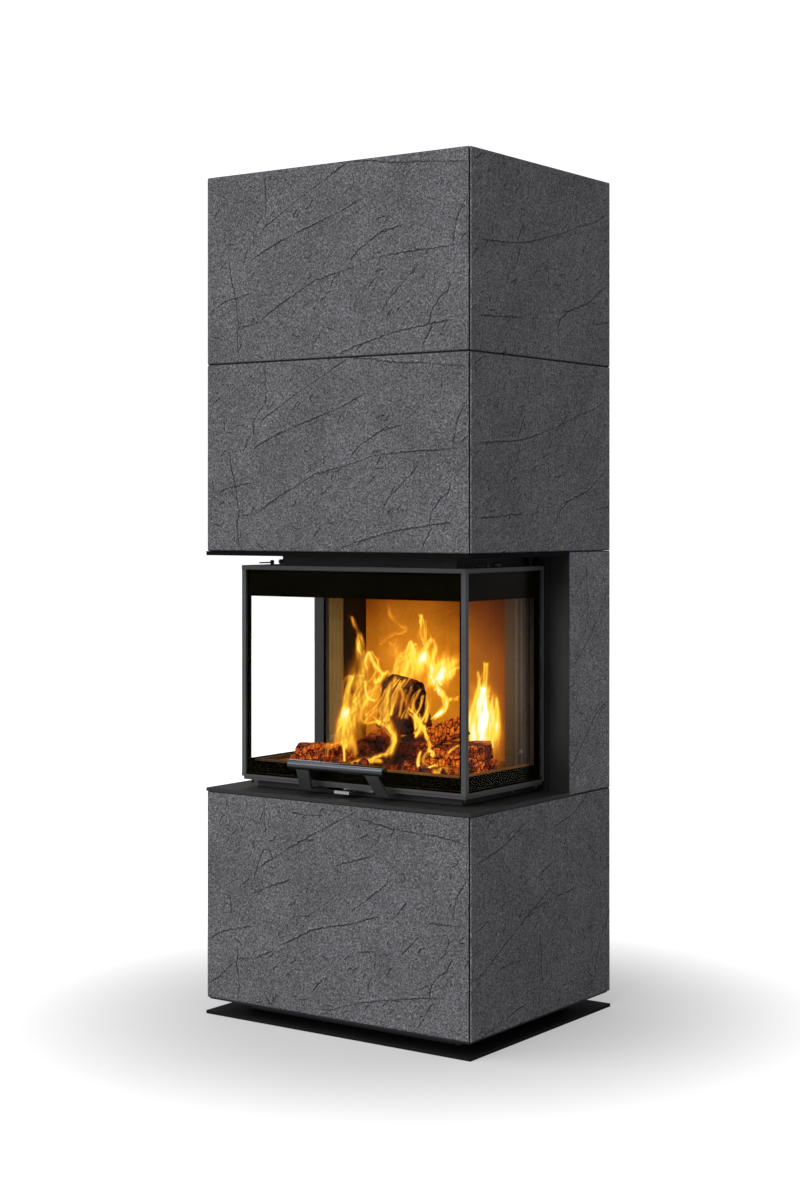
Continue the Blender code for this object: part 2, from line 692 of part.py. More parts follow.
def make_hearth():
    """The rim and floor of the hearth, the two columns, the linings and the shell behind them."""
    low = UP_AIR_BOX + FIT
    rim = u_outline(
        RIM_SIDE_RECESS,
        RIM_SIDE_RECESS + RIM_WIDTH,
        RIM_FRONT_RECESS,
        RIM_FRONT_RECESS + RIM_WIDTH,
        COLUMN_FRONT_BACK - FIT,
    )
    plan_slab("hearth_rim", [rim], low, low + RIM_HEIGHT, "heat_steel")
    wide = WIDTH / 2 - RIM_SIDE_RECESS - RIM_WIDTH - FIT
    narrow = WIDTH / 2 - COLUMN_INNER - FIT
    front, step, rear = RIM_FRONT_RECESS + RIM_WIDTH + FIT, COLUMN_FRONT_BACK - FIT, LINING_REAR
    floor = [
        (-wide, back_y(front)),
        (wide, back_y(front)),
        (wide, back_y(step)),
        (narrow, back_y(step)),
        (narrow, back_y(rear)),
        (-narrow, back_y(rear)),
        (-narrow, back_y(step)),
        (-wide, back_y(step)),
    ]
    plan_slab("hearth_floor", [floor], low, UP_FLOOR, "lining")
    lining_low = UP_FLOOR + FIT
    for side in SIDES:
        column = side_box(
            f"column_{side}",
            side,
            (COLUMN_SIDE_RECESS, COLUMN_INNER),
            (COLUMN_FRONT_BACK, COLUMN_FRONT_BACK + COLUMN_DEPTH),
            (low, UP_CHAMBER),
            "heat_steel",
        )
        chamfer(column, COLUMN_EDGE)
        side_box(
            f"side_lining_{side}",
            side,
            (COLUMN_INNER + FIT, COLUMN_INNER + FIT + SIDE_LINING_THICK),
            (SIDE_LINING_FRONT_BACK, LINING_BACK - FIT),
            (lining_low, UP_BAFFLE),
            "lining",
        )
        box(
            f"back_lining_{side}",
            (SIDES[side] * (CENTRE_LINING_WIDTH / 2 + FIT), back_y(LINING_BACK), lining_low),
            (side_x(side, COLUMN_INNER + FIT), back_y(LINING_REAR), UP_CHAMBER),
            "lining",
        )
    back = (LINING_BACK, LINING_REAR)
    centred_box("back_lining_centre", CENTRE_LINING_WIDTH / 2, back, (lining_low, UP_CHAMBER), "lining")
    shell_out, shell_in = COLUMN_INNER - SHELL_THICK, COLUMN_INNER
    start = COLUMN_FRONT_BACK + COLUMN_DEPTH + FIT
    shell = [
        (side_x("left", shell_out), back_y(start)),
        (side_x("left", shell_in), back_y(start)),
        (side_x("left", shell_in), back_y(LINING_REAR + FIT)),
        (side_x("right", shell_in), back_y(LINING_REAR + FIT)),
        (side_x("right", shell_in), back_y(start)),
        (side_x("right", shell_out), back_y(start)),
        (side_x("right", shell_out), back_y(SHELL_REAR)),
        (side_x("left", shell_out), back_y(SHELL_REAR)),
    ]
    plan_slab("firebox_shell", [shell], low, UP_CHAMBER, "black_steel")


def make_smoke_path():
    """The dome over the chamber with its flange, the two baffles and the collar for the flue."""
    low = UP_CHAMBER + FIT
    half = WIDTH / 2 - DOME_SIDE_RECESS
    rear = SHELL_REAR
    top = low + DOME_HEIGHT
    outer = [
        (back_y(DOME_FRONT_RECESS), low),
        (back_y(rear), low),
        (back_y(rear), top),
        (back_y(rear - DOME_TOP_DEPTH), top),
        (back_y(DOME_FRONT_RECESS), low + DOME_STRAIGHT),
    ]
    inner = [
        (back_y(DOME_FRONT_RECESS + DOME_WALL), low - OVERRUN),
        (back_y(rear - DOME_WALL), low - OVERRUN),
        (back_y(rear - DOME_WALL), top - DOME_WALL),
        (back_y(rear - DOME_TOP_DEPTH), top - DOME_WALL),
        (back_y(DOME_FRONT_RECESS + DOME_WALL), low + DOME_STRAIGHT - DOME_WALL),
    ]
    dome = profile_slab("smoke_dome", [outer], -half, half, "black_steel")
    flange = [
        (side_x("left", COLUMN_SIDE_RECESS), back_y(RIM_FRONT_RECESS)),
        (side_x("right", COLUMN_SIDE_RECESS), back_y(RIM_FRONT_RECESS)),
        (side_x("right", COLUMN_SIDE_RECESS), back_y(COLUMN_FRONT_BACK + COLUMN_DEPTH)),
        (side_x("left", COLUMN_SIDE_RECESS), back_y(COLUMN_FRONT_BACK + COLUMN_DEPTH)),
    ]
    combine(dome, "UNION", [plan_slab("dome_flange", [flange], low, low + DOME_WALL)])
    flue_start = (0, back_y(rear - OVERRUN), FLUE_UP)
    tools = [
        profile_slab("dome_hollow", [inner], DOME_WALL - half, half - DOME_WALL),
        rod("dome_outlet", FLUE_RADIUS - FLUE_WALL, flue_start, 2 * OVERRUN, "Y"),
    ]
    combine(dome, "DIFFERENCE", tools)
    ledge_back = (DOME_FRONT_RECESS + DOME_WALL / 2, DOME_FRONT_RECESS + UPPER_BAFFLE_DEPTH)
    ledge_up = (low + LEDGE_UP, low + LEDGE_UP + LEDGE_THICK)
    ledges = [
        side_box(
            f"dome_ledge_{side}",
            side,
            (DOME_SIDE_RECESS + DOME_WALL / 2, DOME_SIDE_RECESS + DOME_WALL + LEDGE_WIDTH),
            ledge_back,
            ledge_up,
        )
        for side in SIDES
    ]
    combine(dome, "UNION", ledges)
    lower_back = (LINING_BACK - FIT - LOWER_BAFFLE_DEPTH, LINING_BACK - FIT)
    lower_half = WIDTH / 2 - COLUMN_INNER - 2 * FIT
    lower_up = (UP_BAFFLE + FIT, UP_BAFFLE + FIT + BAFFLE_THICK)
    centred_box("lower_baffle", lower_half, lower_back, lower_up, "lining")
    upper_start = DOME_FRONT_RECESS + DOME_WALL + FIT
    upper_half = half - DOME_WALL - FIT
    upper_up = (ledge_up[1] + FIT, ledge_up[1] + FIT + BAFFLE_THICK)
    upper_back = (upper_start, upper_start + UPPER_BAFFLE_DEPTH)
    centred_box("upper_baffle", upper_half, upper_back, upper_up, "lining")

    collar_start = SHELL_REAR + FIT
    start = (0, back_y(collar_start), FLUE_UP)
    collar = rod("flue_collar", FLUE_RADIUS, start, DEPTH - collar_start, "Y", "black_steel")
    flange_radius = FLUE_RADIUS + FLUE_FLANGE
    combine(collar, "UNION", [rod("flue_flange", flange_radius, start, FLUE_FLANGE_THICK, "Y")])
    bore = (0, back_y(collar_start - OVERRUN), FLUE_UP)
    length = DEPTH - collar_start + 2 * OVERRUN
    combine(collar, "DIFFERENCE", [rod("flue_bore", FLUE_RADIUS - FLUE_WALL, bore, length, "Y")])


def make_door():
    """The lifting door: a welded frame on three sides, three panes, the handle and its brackets."""
    outline = u_outline(
        DOOR_SIDE_RECESS,
        DOOR_SIDE_RECESS + RAIL_WIDTH,
        DOOR_FRONT_RECESS,
        DOOR_FRONT_RECESS + RAIL_WIDTH,
        DOOR_END_BACK,
    )
    frame = plan_slab("door_frame", [outline], UP_DOOR, UP_DOOR + RAIL_HEIGHT, "profile_steel")
    step_side, step_front = DOOR_SIDE_RECESS + STEP_SET_BACK, DOOR_FRONT_RECESS + STEP_SET_BACK
    step = u_outline(
        step_side,
        DOOR_SIDE_RECESS + RAIL_WIDTH - STEP_SET_BACK,
        step_front,
        DOOR_FRONT_RECESS + RAIL_WIDTH - STEP_SET_BACK,
        DOOR_END_BACK - STEP_SET_BACK,
    )
    tools = [
        plan_slab("door_step", [step], UP_DOOR - STEP_HEIGHT, UP_DOOR + RAIL_HEIGHT / 2),
        plan_slab("door_top_rail", [outline], UP_DOOR_TOP - RAIL_HEIGHT, UP_DOOR_TOP),
    ]
    post_up = (UP_DOOR + RAIL_HEIGHT / 2, UP_DOOR_TOP - RAIL_HEIGHT / 2)
    corner_back = (DOOR_FRONT_RECESS + FIT, DOOR_FRONT_RECESS + CORNER_POST)
    corner_in = (DOOR_SIDE_RECESS + FIT, DOOR_SIDE_RECESS + CORNER_POST)
    rear_back = (DOOR_END_BACK - REAR_POST, DOOR_END_BACK - FIT)
    rear_in = (DOOR_SIDE_RECESS + FIT, DOOR_SIDE_RECESS + REAR_POST)
    for side in SIDES:
        tools.append(side_box(f"corner_post_{side}", side, corner_in, corner_back, post_up))
        tools.append(side_box(f"rear_post_{side}", side, rear_in, rear_back, post_up))
    combine(frame, "UNION", tools)

    glass_up = (UP_DOOR + RAIL_HEIGHT + FIT, UP_DOOR_TOP - RAIL_HEIGHT - FIT)
    set_back = DOOR_FRONT_RECESS + GLASS_SET_BACK
    half = WIDTH / 2 - corner_in[1] - FIT
    centred_box("front_glass", half, (set_back, set_back + GLASS_THICK), glass_up, "glass")
    set_in = DOOR_SIDE_RECESS + GLASS_SET_BACK
    for side in SIDES:
        side_box(
            f"{side}_glass",
            side,
            (set_in, set_in + GLASS_THICK),
            (corner_back[1] + FIT, rear_back[0] - FIT),
            glass_up,
            "glass",
        )

    handle_up = UP_DOOR + HANDLE_ABOVE_DOOR_BOTTOM
    bar = rod(
        "handle_bar",
        HANDLE_RADIUS,
        (-HANDLE_LENGTH / 2, back_y(HANDLE_BACK), handle_up),
        HANDLE_LENGTH,
        "X",
        "handle_steel",
    )
    chamfer(bar, HANDLE_END_CHAMFER)
    top = handle_up - HANDLE_RADIUS - FIT
    foot_top = UP_DOOR - STEP_HEIGHT - FIT
    half = BRACKET_THICK / 2
    bracket = [
        (back_y(HANDLE_BACK - half), top),
        (back_y(BRACKET_KNEE_BACK - half), foot_top - BRACKET_THICK),
        (back_y(BRACKET_FOOT_BACK), foot_top - BRACKET_THICK),
        (back_y(BRACKET_FOOT_BACK), foot_top),
        (back_y(BRACKET_KNEE_BACK + half), foot_top),
        (back_y(HANDLE_BACK + half), top),
    ]
    for side, sign in SIDES.items():
        middle = sign * BRACKET_SPACING / 2
        ends = middle - BRACKET_WIDTH / 2, middle + BRACKET_WIDTH / 2
        strap = profile_slab(f"handle_bracket_{side}", [bracket], *ends, "handle_steel")
        strap.data.transform(outward_lean(sign * BRACKET_FLARE / (top - foot_top), top))


def outward_lean(slope, top):
    """The shear that spreads a strap, drawn as (depth, height, across), sideways on its way down."""
    lean = Matrix.Identity(4)
    lean[2][1] = -slope
    lean[2][3] = slope * top
    return lean


def make_carriages():
    """The steel angles that join the door to its guides, each with two shoes and a chain clamp."""
    low, high = UP_DOOR + RAIL_HEIGHT + FIT, UP_DOOR_TOP - RAIL_HEIGHT - FIT
    plate_in = (CARRIAGE_SIDE_RECESS, CARRIAGE_SIDE_RECESS + CARRIAGE_THICK)
    start = DOOR_END_BACK - REAR_POST
    shoe_back = (GUIDE_BACK + GUIDE_WALL + SHOE_CLEARANCE, GUIDE_BACK + GUIDE_WALL + GUIDE_SLOT - SHOE_CLEARANCE)
    shoe_in = (GUIDE_SIDE_RECESS + GUIDE_PLATE_THICK + SHOE_CLEARANCE, plate_in[0] + CARRIAGE_THICK / 2)
    clamp_in = (plate_in[1] - CARRIAGE_THICK / 2, WHEEL_SIDE_RECESS - FIT)
    chain_back = WHEEL_BACK - WHEEL_PITCH_RADIUS
    clamp_back = (chain_back - CLAMP_DEPTH / 2, chain_back + CLAMP_DEPTH / 2)
    for side in SIDES:
        carriage = side_box(
            f"carriage_{side}",
            side,
            (DOOR_SIDE_RECESS + REAR_POST + FIT, plate_in[1]),
            (start, DOOR_END_BACK),
            (low, high),
            "zinc_steel",
        )
        plate_back = (DOOR_END_BACK - CARRIAGE_THICK, start + CARRIAGE_DEPTH)
        tools = [
            side_box(f"carriage_plate_{side}", side, plate_in, plate_back, (low + FIT, high - FIT)),
            side_box(f"carriage_clamp_{side}", side, clamp_in, clamp_back, (high - CLAMP_HEIGHT, high - 2 * FIT)),
        ]
        for number, bottom in enumerate((low + SHOE_END_MARGIN, high - SHOE_END_MARGIN - SHOE_HEIGHT)):
            up = (bottom, bottom + SHOE_HEIGHT)
            tools.append(side_box(f"carriage_shoe_{number}_{side}", side, shoe_in, shoe_back, up))
        combine(carriage, "UNION", tools)


def make_guides():
    """The tall side plates: each holds the rail of a carriage, the shaft's boss, a pin and a flange."""
    low = UP_SHELF + FIT
    plate_in = (GUIDE_SIDE_RECESS, GUIDE_SIDE_RECESS + GUIDE_PLATE_THICK)
    rail_in = (plate_in[1] - GUIDE_PLATE_THICK / 2, plate_in[1] + GUIDE_DEPTH)
    rear = GUIDE_BACK + GUIDE_PLATE_DEPTH
    rail_up = (low + FIT, low + GUIDE_RAIL_HEIGHT)
    boss_length = BOSS_LENGTH + GUIDE_PLATE_THICK / 2
    pin_length = WHEEL_INNER - plate_in[1] + GUIDE_PLATE_THICK / 2 + SHEET
    for side, sign in SIDES.items():
        up = (low, low + GUIDE_PLATE_HEIGHT)
        guide = side_box(f"lift_guide_{side}", side, plate_in, (GUIDE_BACK, rear), up, "zinc_steel")
        tools = []
        for number, start in enumerate((GUIDE_BACK, GUIDE_BACK + GUIDE_WALL + GUIDE_SLOT)):
            back = (start + number * FIT, start + GUIDE_WALL + number * FIT)
            tools.append(side_box(f"guide_flange_{number}_{side}", side, rail_in, back, rail_up))
        flange_in = (rail_in[0], plate_in[1] + WEIGHT_FLANGE)
        flange_up = (low + GUIDE_WALL, low + GUIDE_PLATE_HEIGHT - GUIDE_WALL)
        tools.append(side_box(f"weight_flange_{side}", side, flange_in, (rear - GUIDE_WALL, rear), flange_up))
        inner = side_x(side, plate_in[1] - GUIDE_PLATE_THICK / 2)
        for name, radius, length, height in (
            ("shaft_boss", BOSS_RADIUS, boss_length, UPPER_WHEEL_UP),
            ("wheel_pin", SHAFT_RADIUS, pin_length, LOWER_WHEEL_UP),
        ):
            start = min(inner, inner - sign * length)
            place = (start, back_y(WHEEL_BACK), height)
            tools.append(rod(f"{name}_{side}", radius, place, length, "X"))
        combine(guide, "UNION", tools)
        bore_start = side_x(side, plate_in[1] + BOSS_LENGTH / 2)
        place = (bore_start - BOSS_LENGTH, back_y(WHEEL_BACK), UPPER_WHEEL_UP)
        place = (place[0] if sign > 0 else bore_start, place[1], place[2])
        bore = rod(f"shaft_bore_{side}", SHAFT_RADIUS + BORE_CLEARANCE, place, BOSS_LENGTH, "X")
        combine(guide, "DIFFERENCE", [bore])


def wheel_blank(name, side, height, finish=None):
    """A chain wheel's disc with its lightening holes, on the chain's plane."""
    radius = WHEEL_PITCH_RADIUS - CHAIN_THICK / 2 - FIT
    start = min(side_x(side, WHEEL_SIDE_RECESS), side_x(side, WHEEL_INNER))
    disc = rod(name, radius, (start, back_y(WHEEL_BACK), height), WHEEL_WIDTH, "X", finish)
    holes = []
    for number in range(WHEEL_HOLES):
        turn = 2 * math.pi * number / WHEEL_HOLES
        reach = radius * WHEEL_HOLE_SHARE
        place = (
            start - OVERRUN,
            back_y(WHEEL_BACK) + reach * math.cos(turn),
            height + reach * math.sin(turn),
        )
        holes.append(rod(f"{name}_hole_{number}", WHEEL_HOLE_RADIUS, place, WHEEL_WIDTH + 2 * OVERRUN, "X"))
    combine(disc, "DIFFERENCE", holes)
    return disc


def make_lift():
    """The shaft with its two wheels, the lower wheels, the endless chains and the two weights."""
    shaft_recess = GUIDE_SIDE_RECESS + GUIDE_PLATE_THICK + BOSS_LENGTH / 2 + FIT
    start = (side_x("left", shaft_recess), back_y(WHEEL_BACK), UPPER_WHEEL_UP)
    length = 2 * (WIDTH / 2 - shaft_recess)
    shaft = rod("lift_shaft", SHAFT_RADIUS, start, length, "X", "zinc_steel")
    wheels = [wheel_blank(f"upper_wheel_{side}", side, UPPER_WHEEL_UP) for side in SIDES]
    combine(shaft, "UNION", wheels)
    inner, outer = WHEEL_PITCH_RADIUS - CHAIN_THICK / 2, WHEEL_PITCH_RADIUS + CHAIN_THICK / 2
    weight_rear = GUIDE_BACK + GUIDE_PLATE_DEPTH - GUIDE_WALL - FIT
    weight_in = (GUIDE_SIDE_RECESS + GUIDE_PLATE_THICK + FIT, WHEEL_SIDE_RECESS - FIT)
    for side in SIDES:
        lower = wheel_blank(f"lower_wheel_{side}", side, LOWER_WHEEL_UP, "zinc_steel")
        start = (
            min(side_x(side, WHEEL_SIDE_RECESS), side_x(side, WHEEL_INNER)) - OVERRUN,
            back_y(WHEEL_BACK),
            LOWER_WHEEL_UP,
        )
        bore_length = WHEEL_WIDTH + 2 * OVERRUN
        bore = rod(f"lower_bore_{side}", SHAFT_RADIUS + BORE_CLEARANCE, start, bore_length, "X")
        combine(lower, "DIFFERENCE", [bore])
        loops = []
        for radius in (outer, inner):
            ends = ((UPPER_WHEEL_UP, 0), (LOWER_WHEEL_UP, math.pi))
            loop = [
                (
                    back_y(WHEEL_BACK) + radius * math.cos(first + math.pi * step / ROUND_STEPS),
                    height + radius * math.sin(first + math.pi * step / ROUND_STEPS),
                )
                for height, first in ends
                for step in range(ROUND_STEPS + 1)
            ]
            loops.append(loop)
        across = sorted((side_x(side, WHEEL_SIDE_RECESS), side_x(side, WHEEL_INNER)))
        profile_slab(f"lift_chain_{side}", loops, *across, "zinc_steel")
        weight = side_box(
            f"counterweight_{side}",
            side,
            weight_in,
            (WEIGHT_FRONT_BACK, weight_rear),
            (WEIGHT_UP, WEIGHT_UP + WEIGHT_HEIGHT),
            "weight_iron",
        )
        chamfer(weight, WEIGHT_EDGE)


def make_logs():
    """Split logs on their flats: three on the hearth and a tall one across two of them."""
    half = WIDTH / 2 - COLUMN_INNER - SIDE_LINING_THICK
    front = RIM_FRONT_RECESS + RIM_WIDTH
    unit = min(half, (LINING_BACK - front) * STACK_SHARE)
    middle = (front + LINING_BACK) / 2
    lower_height = unit * max(row[0] for row in LOG_SHARES.values()) * (1 + LOG_FLAT_SHARE)
    first = math.asin(LOG_FLAT_SHARE)
    spread = math.pi + 2 * first
    turns = [spread * step / (LOG_STEPS - 1) - first for step in range(LOG_STEPS)]
    for name, row in LOG_SHARES.items():
        radius, length, across, back = (unit * row[place] for place in (0, 2, 3, 4))
        tall, layer, turn = row[1], row[5], row[6]
        outline = [(radius * math.cos(angle), radius * tall * math.sin(angle)) for angle in turns]
        low = UP_FLOOR + FIT + layer * (lower_height + FIT)
        place = (across, back_y(middle + back), low + radius * tall * LOG_FLAT_SHARE)
        rotation = (math.pi / 2, 0, math.pi / 2 + math.radians(turn))
        smooth(slab(name, [outline], length, place, rotation, "wood"))


def main():
    make_base()
    make_cladding()
    make_plates()
    make_casing()
    make_air()
    make_hearth()
    make_smoke_path()
    make_door()
    make_carriages()
    make_guides()
    make_lift()
    make_logs()


main()
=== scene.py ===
"""The looks of a stone-clad wood fireplace with a lifting glass door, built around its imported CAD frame."""

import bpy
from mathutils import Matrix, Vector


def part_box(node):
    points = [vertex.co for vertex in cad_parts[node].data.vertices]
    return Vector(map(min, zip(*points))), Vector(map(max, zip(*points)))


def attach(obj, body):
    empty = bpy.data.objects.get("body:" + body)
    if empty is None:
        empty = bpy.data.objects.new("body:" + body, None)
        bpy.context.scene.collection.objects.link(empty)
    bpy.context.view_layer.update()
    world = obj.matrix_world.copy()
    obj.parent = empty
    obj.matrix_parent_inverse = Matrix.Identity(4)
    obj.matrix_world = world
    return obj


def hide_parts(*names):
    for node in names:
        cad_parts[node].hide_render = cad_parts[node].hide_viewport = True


bl_info = {
    "name": "Stone fireplace",
    "version": (1, 0, 0),
    "blender": (4, 5, 0),
    "location": "View3D > Sidebar > Fireplace",
    "description": "Dresses a stone-clad wood fireplace with a lifting glass door",
    "category": "Object",
}

import math

import bpy
import numpy as np
from bpy.props import FloatProperty, FloatVectorProperty, IntProperty, PointerProperty

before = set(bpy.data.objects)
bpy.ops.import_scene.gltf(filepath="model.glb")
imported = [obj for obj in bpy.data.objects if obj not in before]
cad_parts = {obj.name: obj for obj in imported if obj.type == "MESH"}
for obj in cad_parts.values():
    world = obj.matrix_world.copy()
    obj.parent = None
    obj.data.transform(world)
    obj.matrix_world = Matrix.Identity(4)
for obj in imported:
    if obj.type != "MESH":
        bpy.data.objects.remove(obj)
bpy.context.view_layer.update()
SIDES = ((-1, "left"), (1, "right"))

# Long creases of the cladding. Each row holds the points of one crease, in thousandths of a slab's
# face: from its left edge, from its lower edge, and so on.
UPPER_FRONT = (
    (204, 674, 271, 745, 350, 820, 454, 909, 518, 967, 563, 998),
    (177, 536, 224, 575, 261, 601, 377, 669, 509, 736, 613, 802),
    (201, 193, 238, 238, 291, 285, 350, 336, 429, 401, 493, 424, 582, 457, 656, 494, 755, 507, 833, 514, 893, 515, 994,
     527),
    (3, 260, 61, 322, 116, 343, 177, 363),
    (940, 360, 928, 304, 893, 258, 869, 202, 860, 141),
    (518, 9, 594, 50, 736, 106, 809, 125, 863, 136, 940, 154),
    (872, 131, 851, 71, 833, 18),
    (824, 449, 797, 402, 761, 347, 718, 284, 687, 220),
    (994, 765, 975, 710, 958, 647, 943, 550),
    (563, 1000, 632, 995, 724, 968, 809, 960, 994, 929),
    (231, 997, 238, 917, 239, 855, 238, 776),
    (88, 556, 95, 475, 116, 339, 126, 240, 126, 186, 122, 124, 129, 17),
    (136, 190, 180, 190, 187, 234, 204, 197),
    (422, 64, 461, 139),
    (563, 480, 607, 552, 681, 618, 767, 649),
    (231, 777, 204, 728, 187, 686, 190, 614),
    (67, 702, 71, 639, 109, 629),
)
LOWER_FRONT = (
    (201, 652, 237, 691, 280, 727, 329, 772, 391, 823, 481, 894, 598, 987),
    (588, 953, 661, 934, 727, 919, 817, 909, 874, 909, 930, 898, 997, 880),
    (230, 1000, 233, 933, 233, 882, 241, 823),
    (1, 274, 34, 306, 67, 332, 115, 351, 176, 372),
    (294, 299, 329, 326, 371, 359, 412, 392, 446, 410, 494, 427, 588, 460, 655, 497, 687, 510),
    (111, 187, 136, 211, 181, 216, 188, 253, 198, 225, 241, 255, 269, 273),
    (180, 529, 216, 552, 258, 580, 336, 626),
    (508, 711, 548, 734, 595, 757, 648, 781),
    (997, 730, 974, 679, 955, 628, 943, 535),
    (849, 502, 886, 509, 924, 508, 997, 518),
    (943, 368, 933, 330, 924, 305, 899, 280, 880, 248, 864, 213, 860, 168),
    (446, 26, 487, 34, 541, 60, 595, 88, 661, 114, 740, 135, 858, 168, 943, 181),
    (877, 156, 855, 107, 835, 58),
    (122, 275, 126, 224, 118, 180, 129, 131, 129, 79, 126, 31),
    (89, 553, 93, 485, 99, 426),
    (269, 700, 251, 757, 230, 754, 216, 709, 201, 652, 191, 620, 194, 587),
    (336, 946, 391, 940, 460, 945),
    (568, 506, 582, 525, 622, 564, 661, 612, 694, 642),
    (740, 519, 759, 555, 781, 591),
    (419, 101, 446, 152, 467, 181),
    (588, 329, 622, 329, 655, 341),
    (460, 288, 481, 271, 511, 289),
    (823, 437, 791, 391, 759, 345),
    (230, 74, 244, 35, 265, 0, 280, 68),
    (4, 63, 49, 106, 100, 177),
)
LOWER_SIDE = (
    (24, 788, 89, 805, 162, 822, 229, 848, 285, 880, 348, 916, 405, 941),
    (555, 867, 635, 894, 710, 913, 758, 945, 821, 993),
    (444, 651, 502, 684, 555, 709),
    (24, 477, 65, 496, 113, 519),
    (24, 262, 89, 300, 174, 355, 260, 411, 348, 468, 424, 515, 476, 544, 515, 574, 542, 599, 535, 631),
    (424, 515, 476, 518, 502, 530, 496, 489),
    (470, 409, 476, 339, 479, 271, 483, 202, 496, 114),
    (192, 285, 260, 290, 335, 290),
    (999, 407, 970, 341, 934, 277, 912, 219, 891, 162, 884, 92),
    (758, 200, 800, 156, 856, 103, 884, 88),
    (235, 47, 310, 70, 380, 82),
    (662, 812, 669, 758, 676, 688),
    (689, 668, 703, 622, 717, 620),
    (582, 541, 649, 541, 717, 559),
    (60, 0, 101, 11, 150, 23),
    (463, 11, 463, 53, 470, 103),
    (101, 950, 150, 971),
)
UPPER_SIDE = (
    (22, 537, 88, 554, 165, 559, 244, 564, 334, 576, 415, 596, 498, 625, 583, 651, 669, 686, 745, 723, 801, 740, 880,
     766, 931, 798, 983, 830),
    (359, 692, 339, 652, 324, 613, 316, 582),
    (332, 570, 324, 524, 309, 478, 289, 445, 259, 419, 244, 388, 242, 358),
    (41, 169, 107, 177, 175, 179, 254, 189, 344, 195),
    (405, 190, 457, 204),
    (636, 249, 713, 277, 779, 300, 823, 318, 868, 353, 914, 390, 971, 429),
    (680, 258, 626, 217, 583, 144),
    (400, 915, 390, 861, 385, 815),
    (835, 661, 807, 618, 784, 576),
    (259, 357, 304, 385),
    (22, 944, 59, 973, 98, 992),
    (880, 214, 994, 238),
    (718, 431, 757, 448, 779, 470),
    (562, 385, 626, 397),
    (478, 486, 530, 516),
)
REAR_SIDE = (
    (50, 120, 300, 200, 620, 310, 970, 370),
    (30, 520, 350, 600, 700, 720, 950, 840),
    (400, 950, 450, 820, 420, 700),
)
# Each slab's creases, and the seed of its small marks.
STONES = {
    "lower_front_stone": (LOWER_FRONT, 11),
    "middle_front_stone": (UPPER_FRONT, 12),
    "top_front_stone": (UPPER_FRONT, 12),
    "lower_right_stone": (LOWER_SIDE, 13),
    "middle_right_stone": (UPPER_SIDE, 14),
    "top_right_stone": (UPPER_SIDE, 14),
    "lower_left_stone": (LOWER_SIDE, 15),
    "middle_left_stone": (UPPER_SIDE, 16),
    "top_left_stone": (UPPER_SIDE, 16),
    "rear_right_stone": (REAR_SIDE, 17),
    "rear_left_stone": (REAR_SIDE, 18),
}
# Split logs: half width, height over half width, length, place across, place in depth, underside, turn in degrees,
# and where around its section each split edge is, in degrees.
LOGS = {
    "log_left": (0.0500, 1.00, 0.1901, -0.0549, -0.0203, 0.4748, 117.0, (38, 80, 118)),
    "log_right": (0.0500, 1.00, 0.1805, 0.1242, -0.0732, 0.4748, 18.0, (62, 128)),
    "log_top": (0.0360, 2.40, 0.1651, 0.0090, -0.0300, 0.5368, 143.0, (52, 84, 112)),
    "log_small": (0.0340, 1.00, 0.0846, -0.1251, -0.1164, 0.4748, 12.0, (45, 105, 140)),
}
# Half-burnt pieces that lie on the logs, in the same terms, and how far their right end is lifted in degrees.
PIECES = {
    "burnt_piece_right": (0.0310, 1.15, 0.1650, 0.0960, -0.0740, 0.5110, 14.0, (58, 120), 21.0),
    "burnt_piece_left": (0.0220, 1.10, 0.0900, -0.0080, -0.0700, 0.5150, 52.0, (50, 130), 30.0),
}
# The middle of the place between the logs where nothing burns: the logs' fire light and the embers' glow fade out
# there, a painted shade.
PAINTED_SHADE_SPOT = (0.045, -0.100, 0.500)
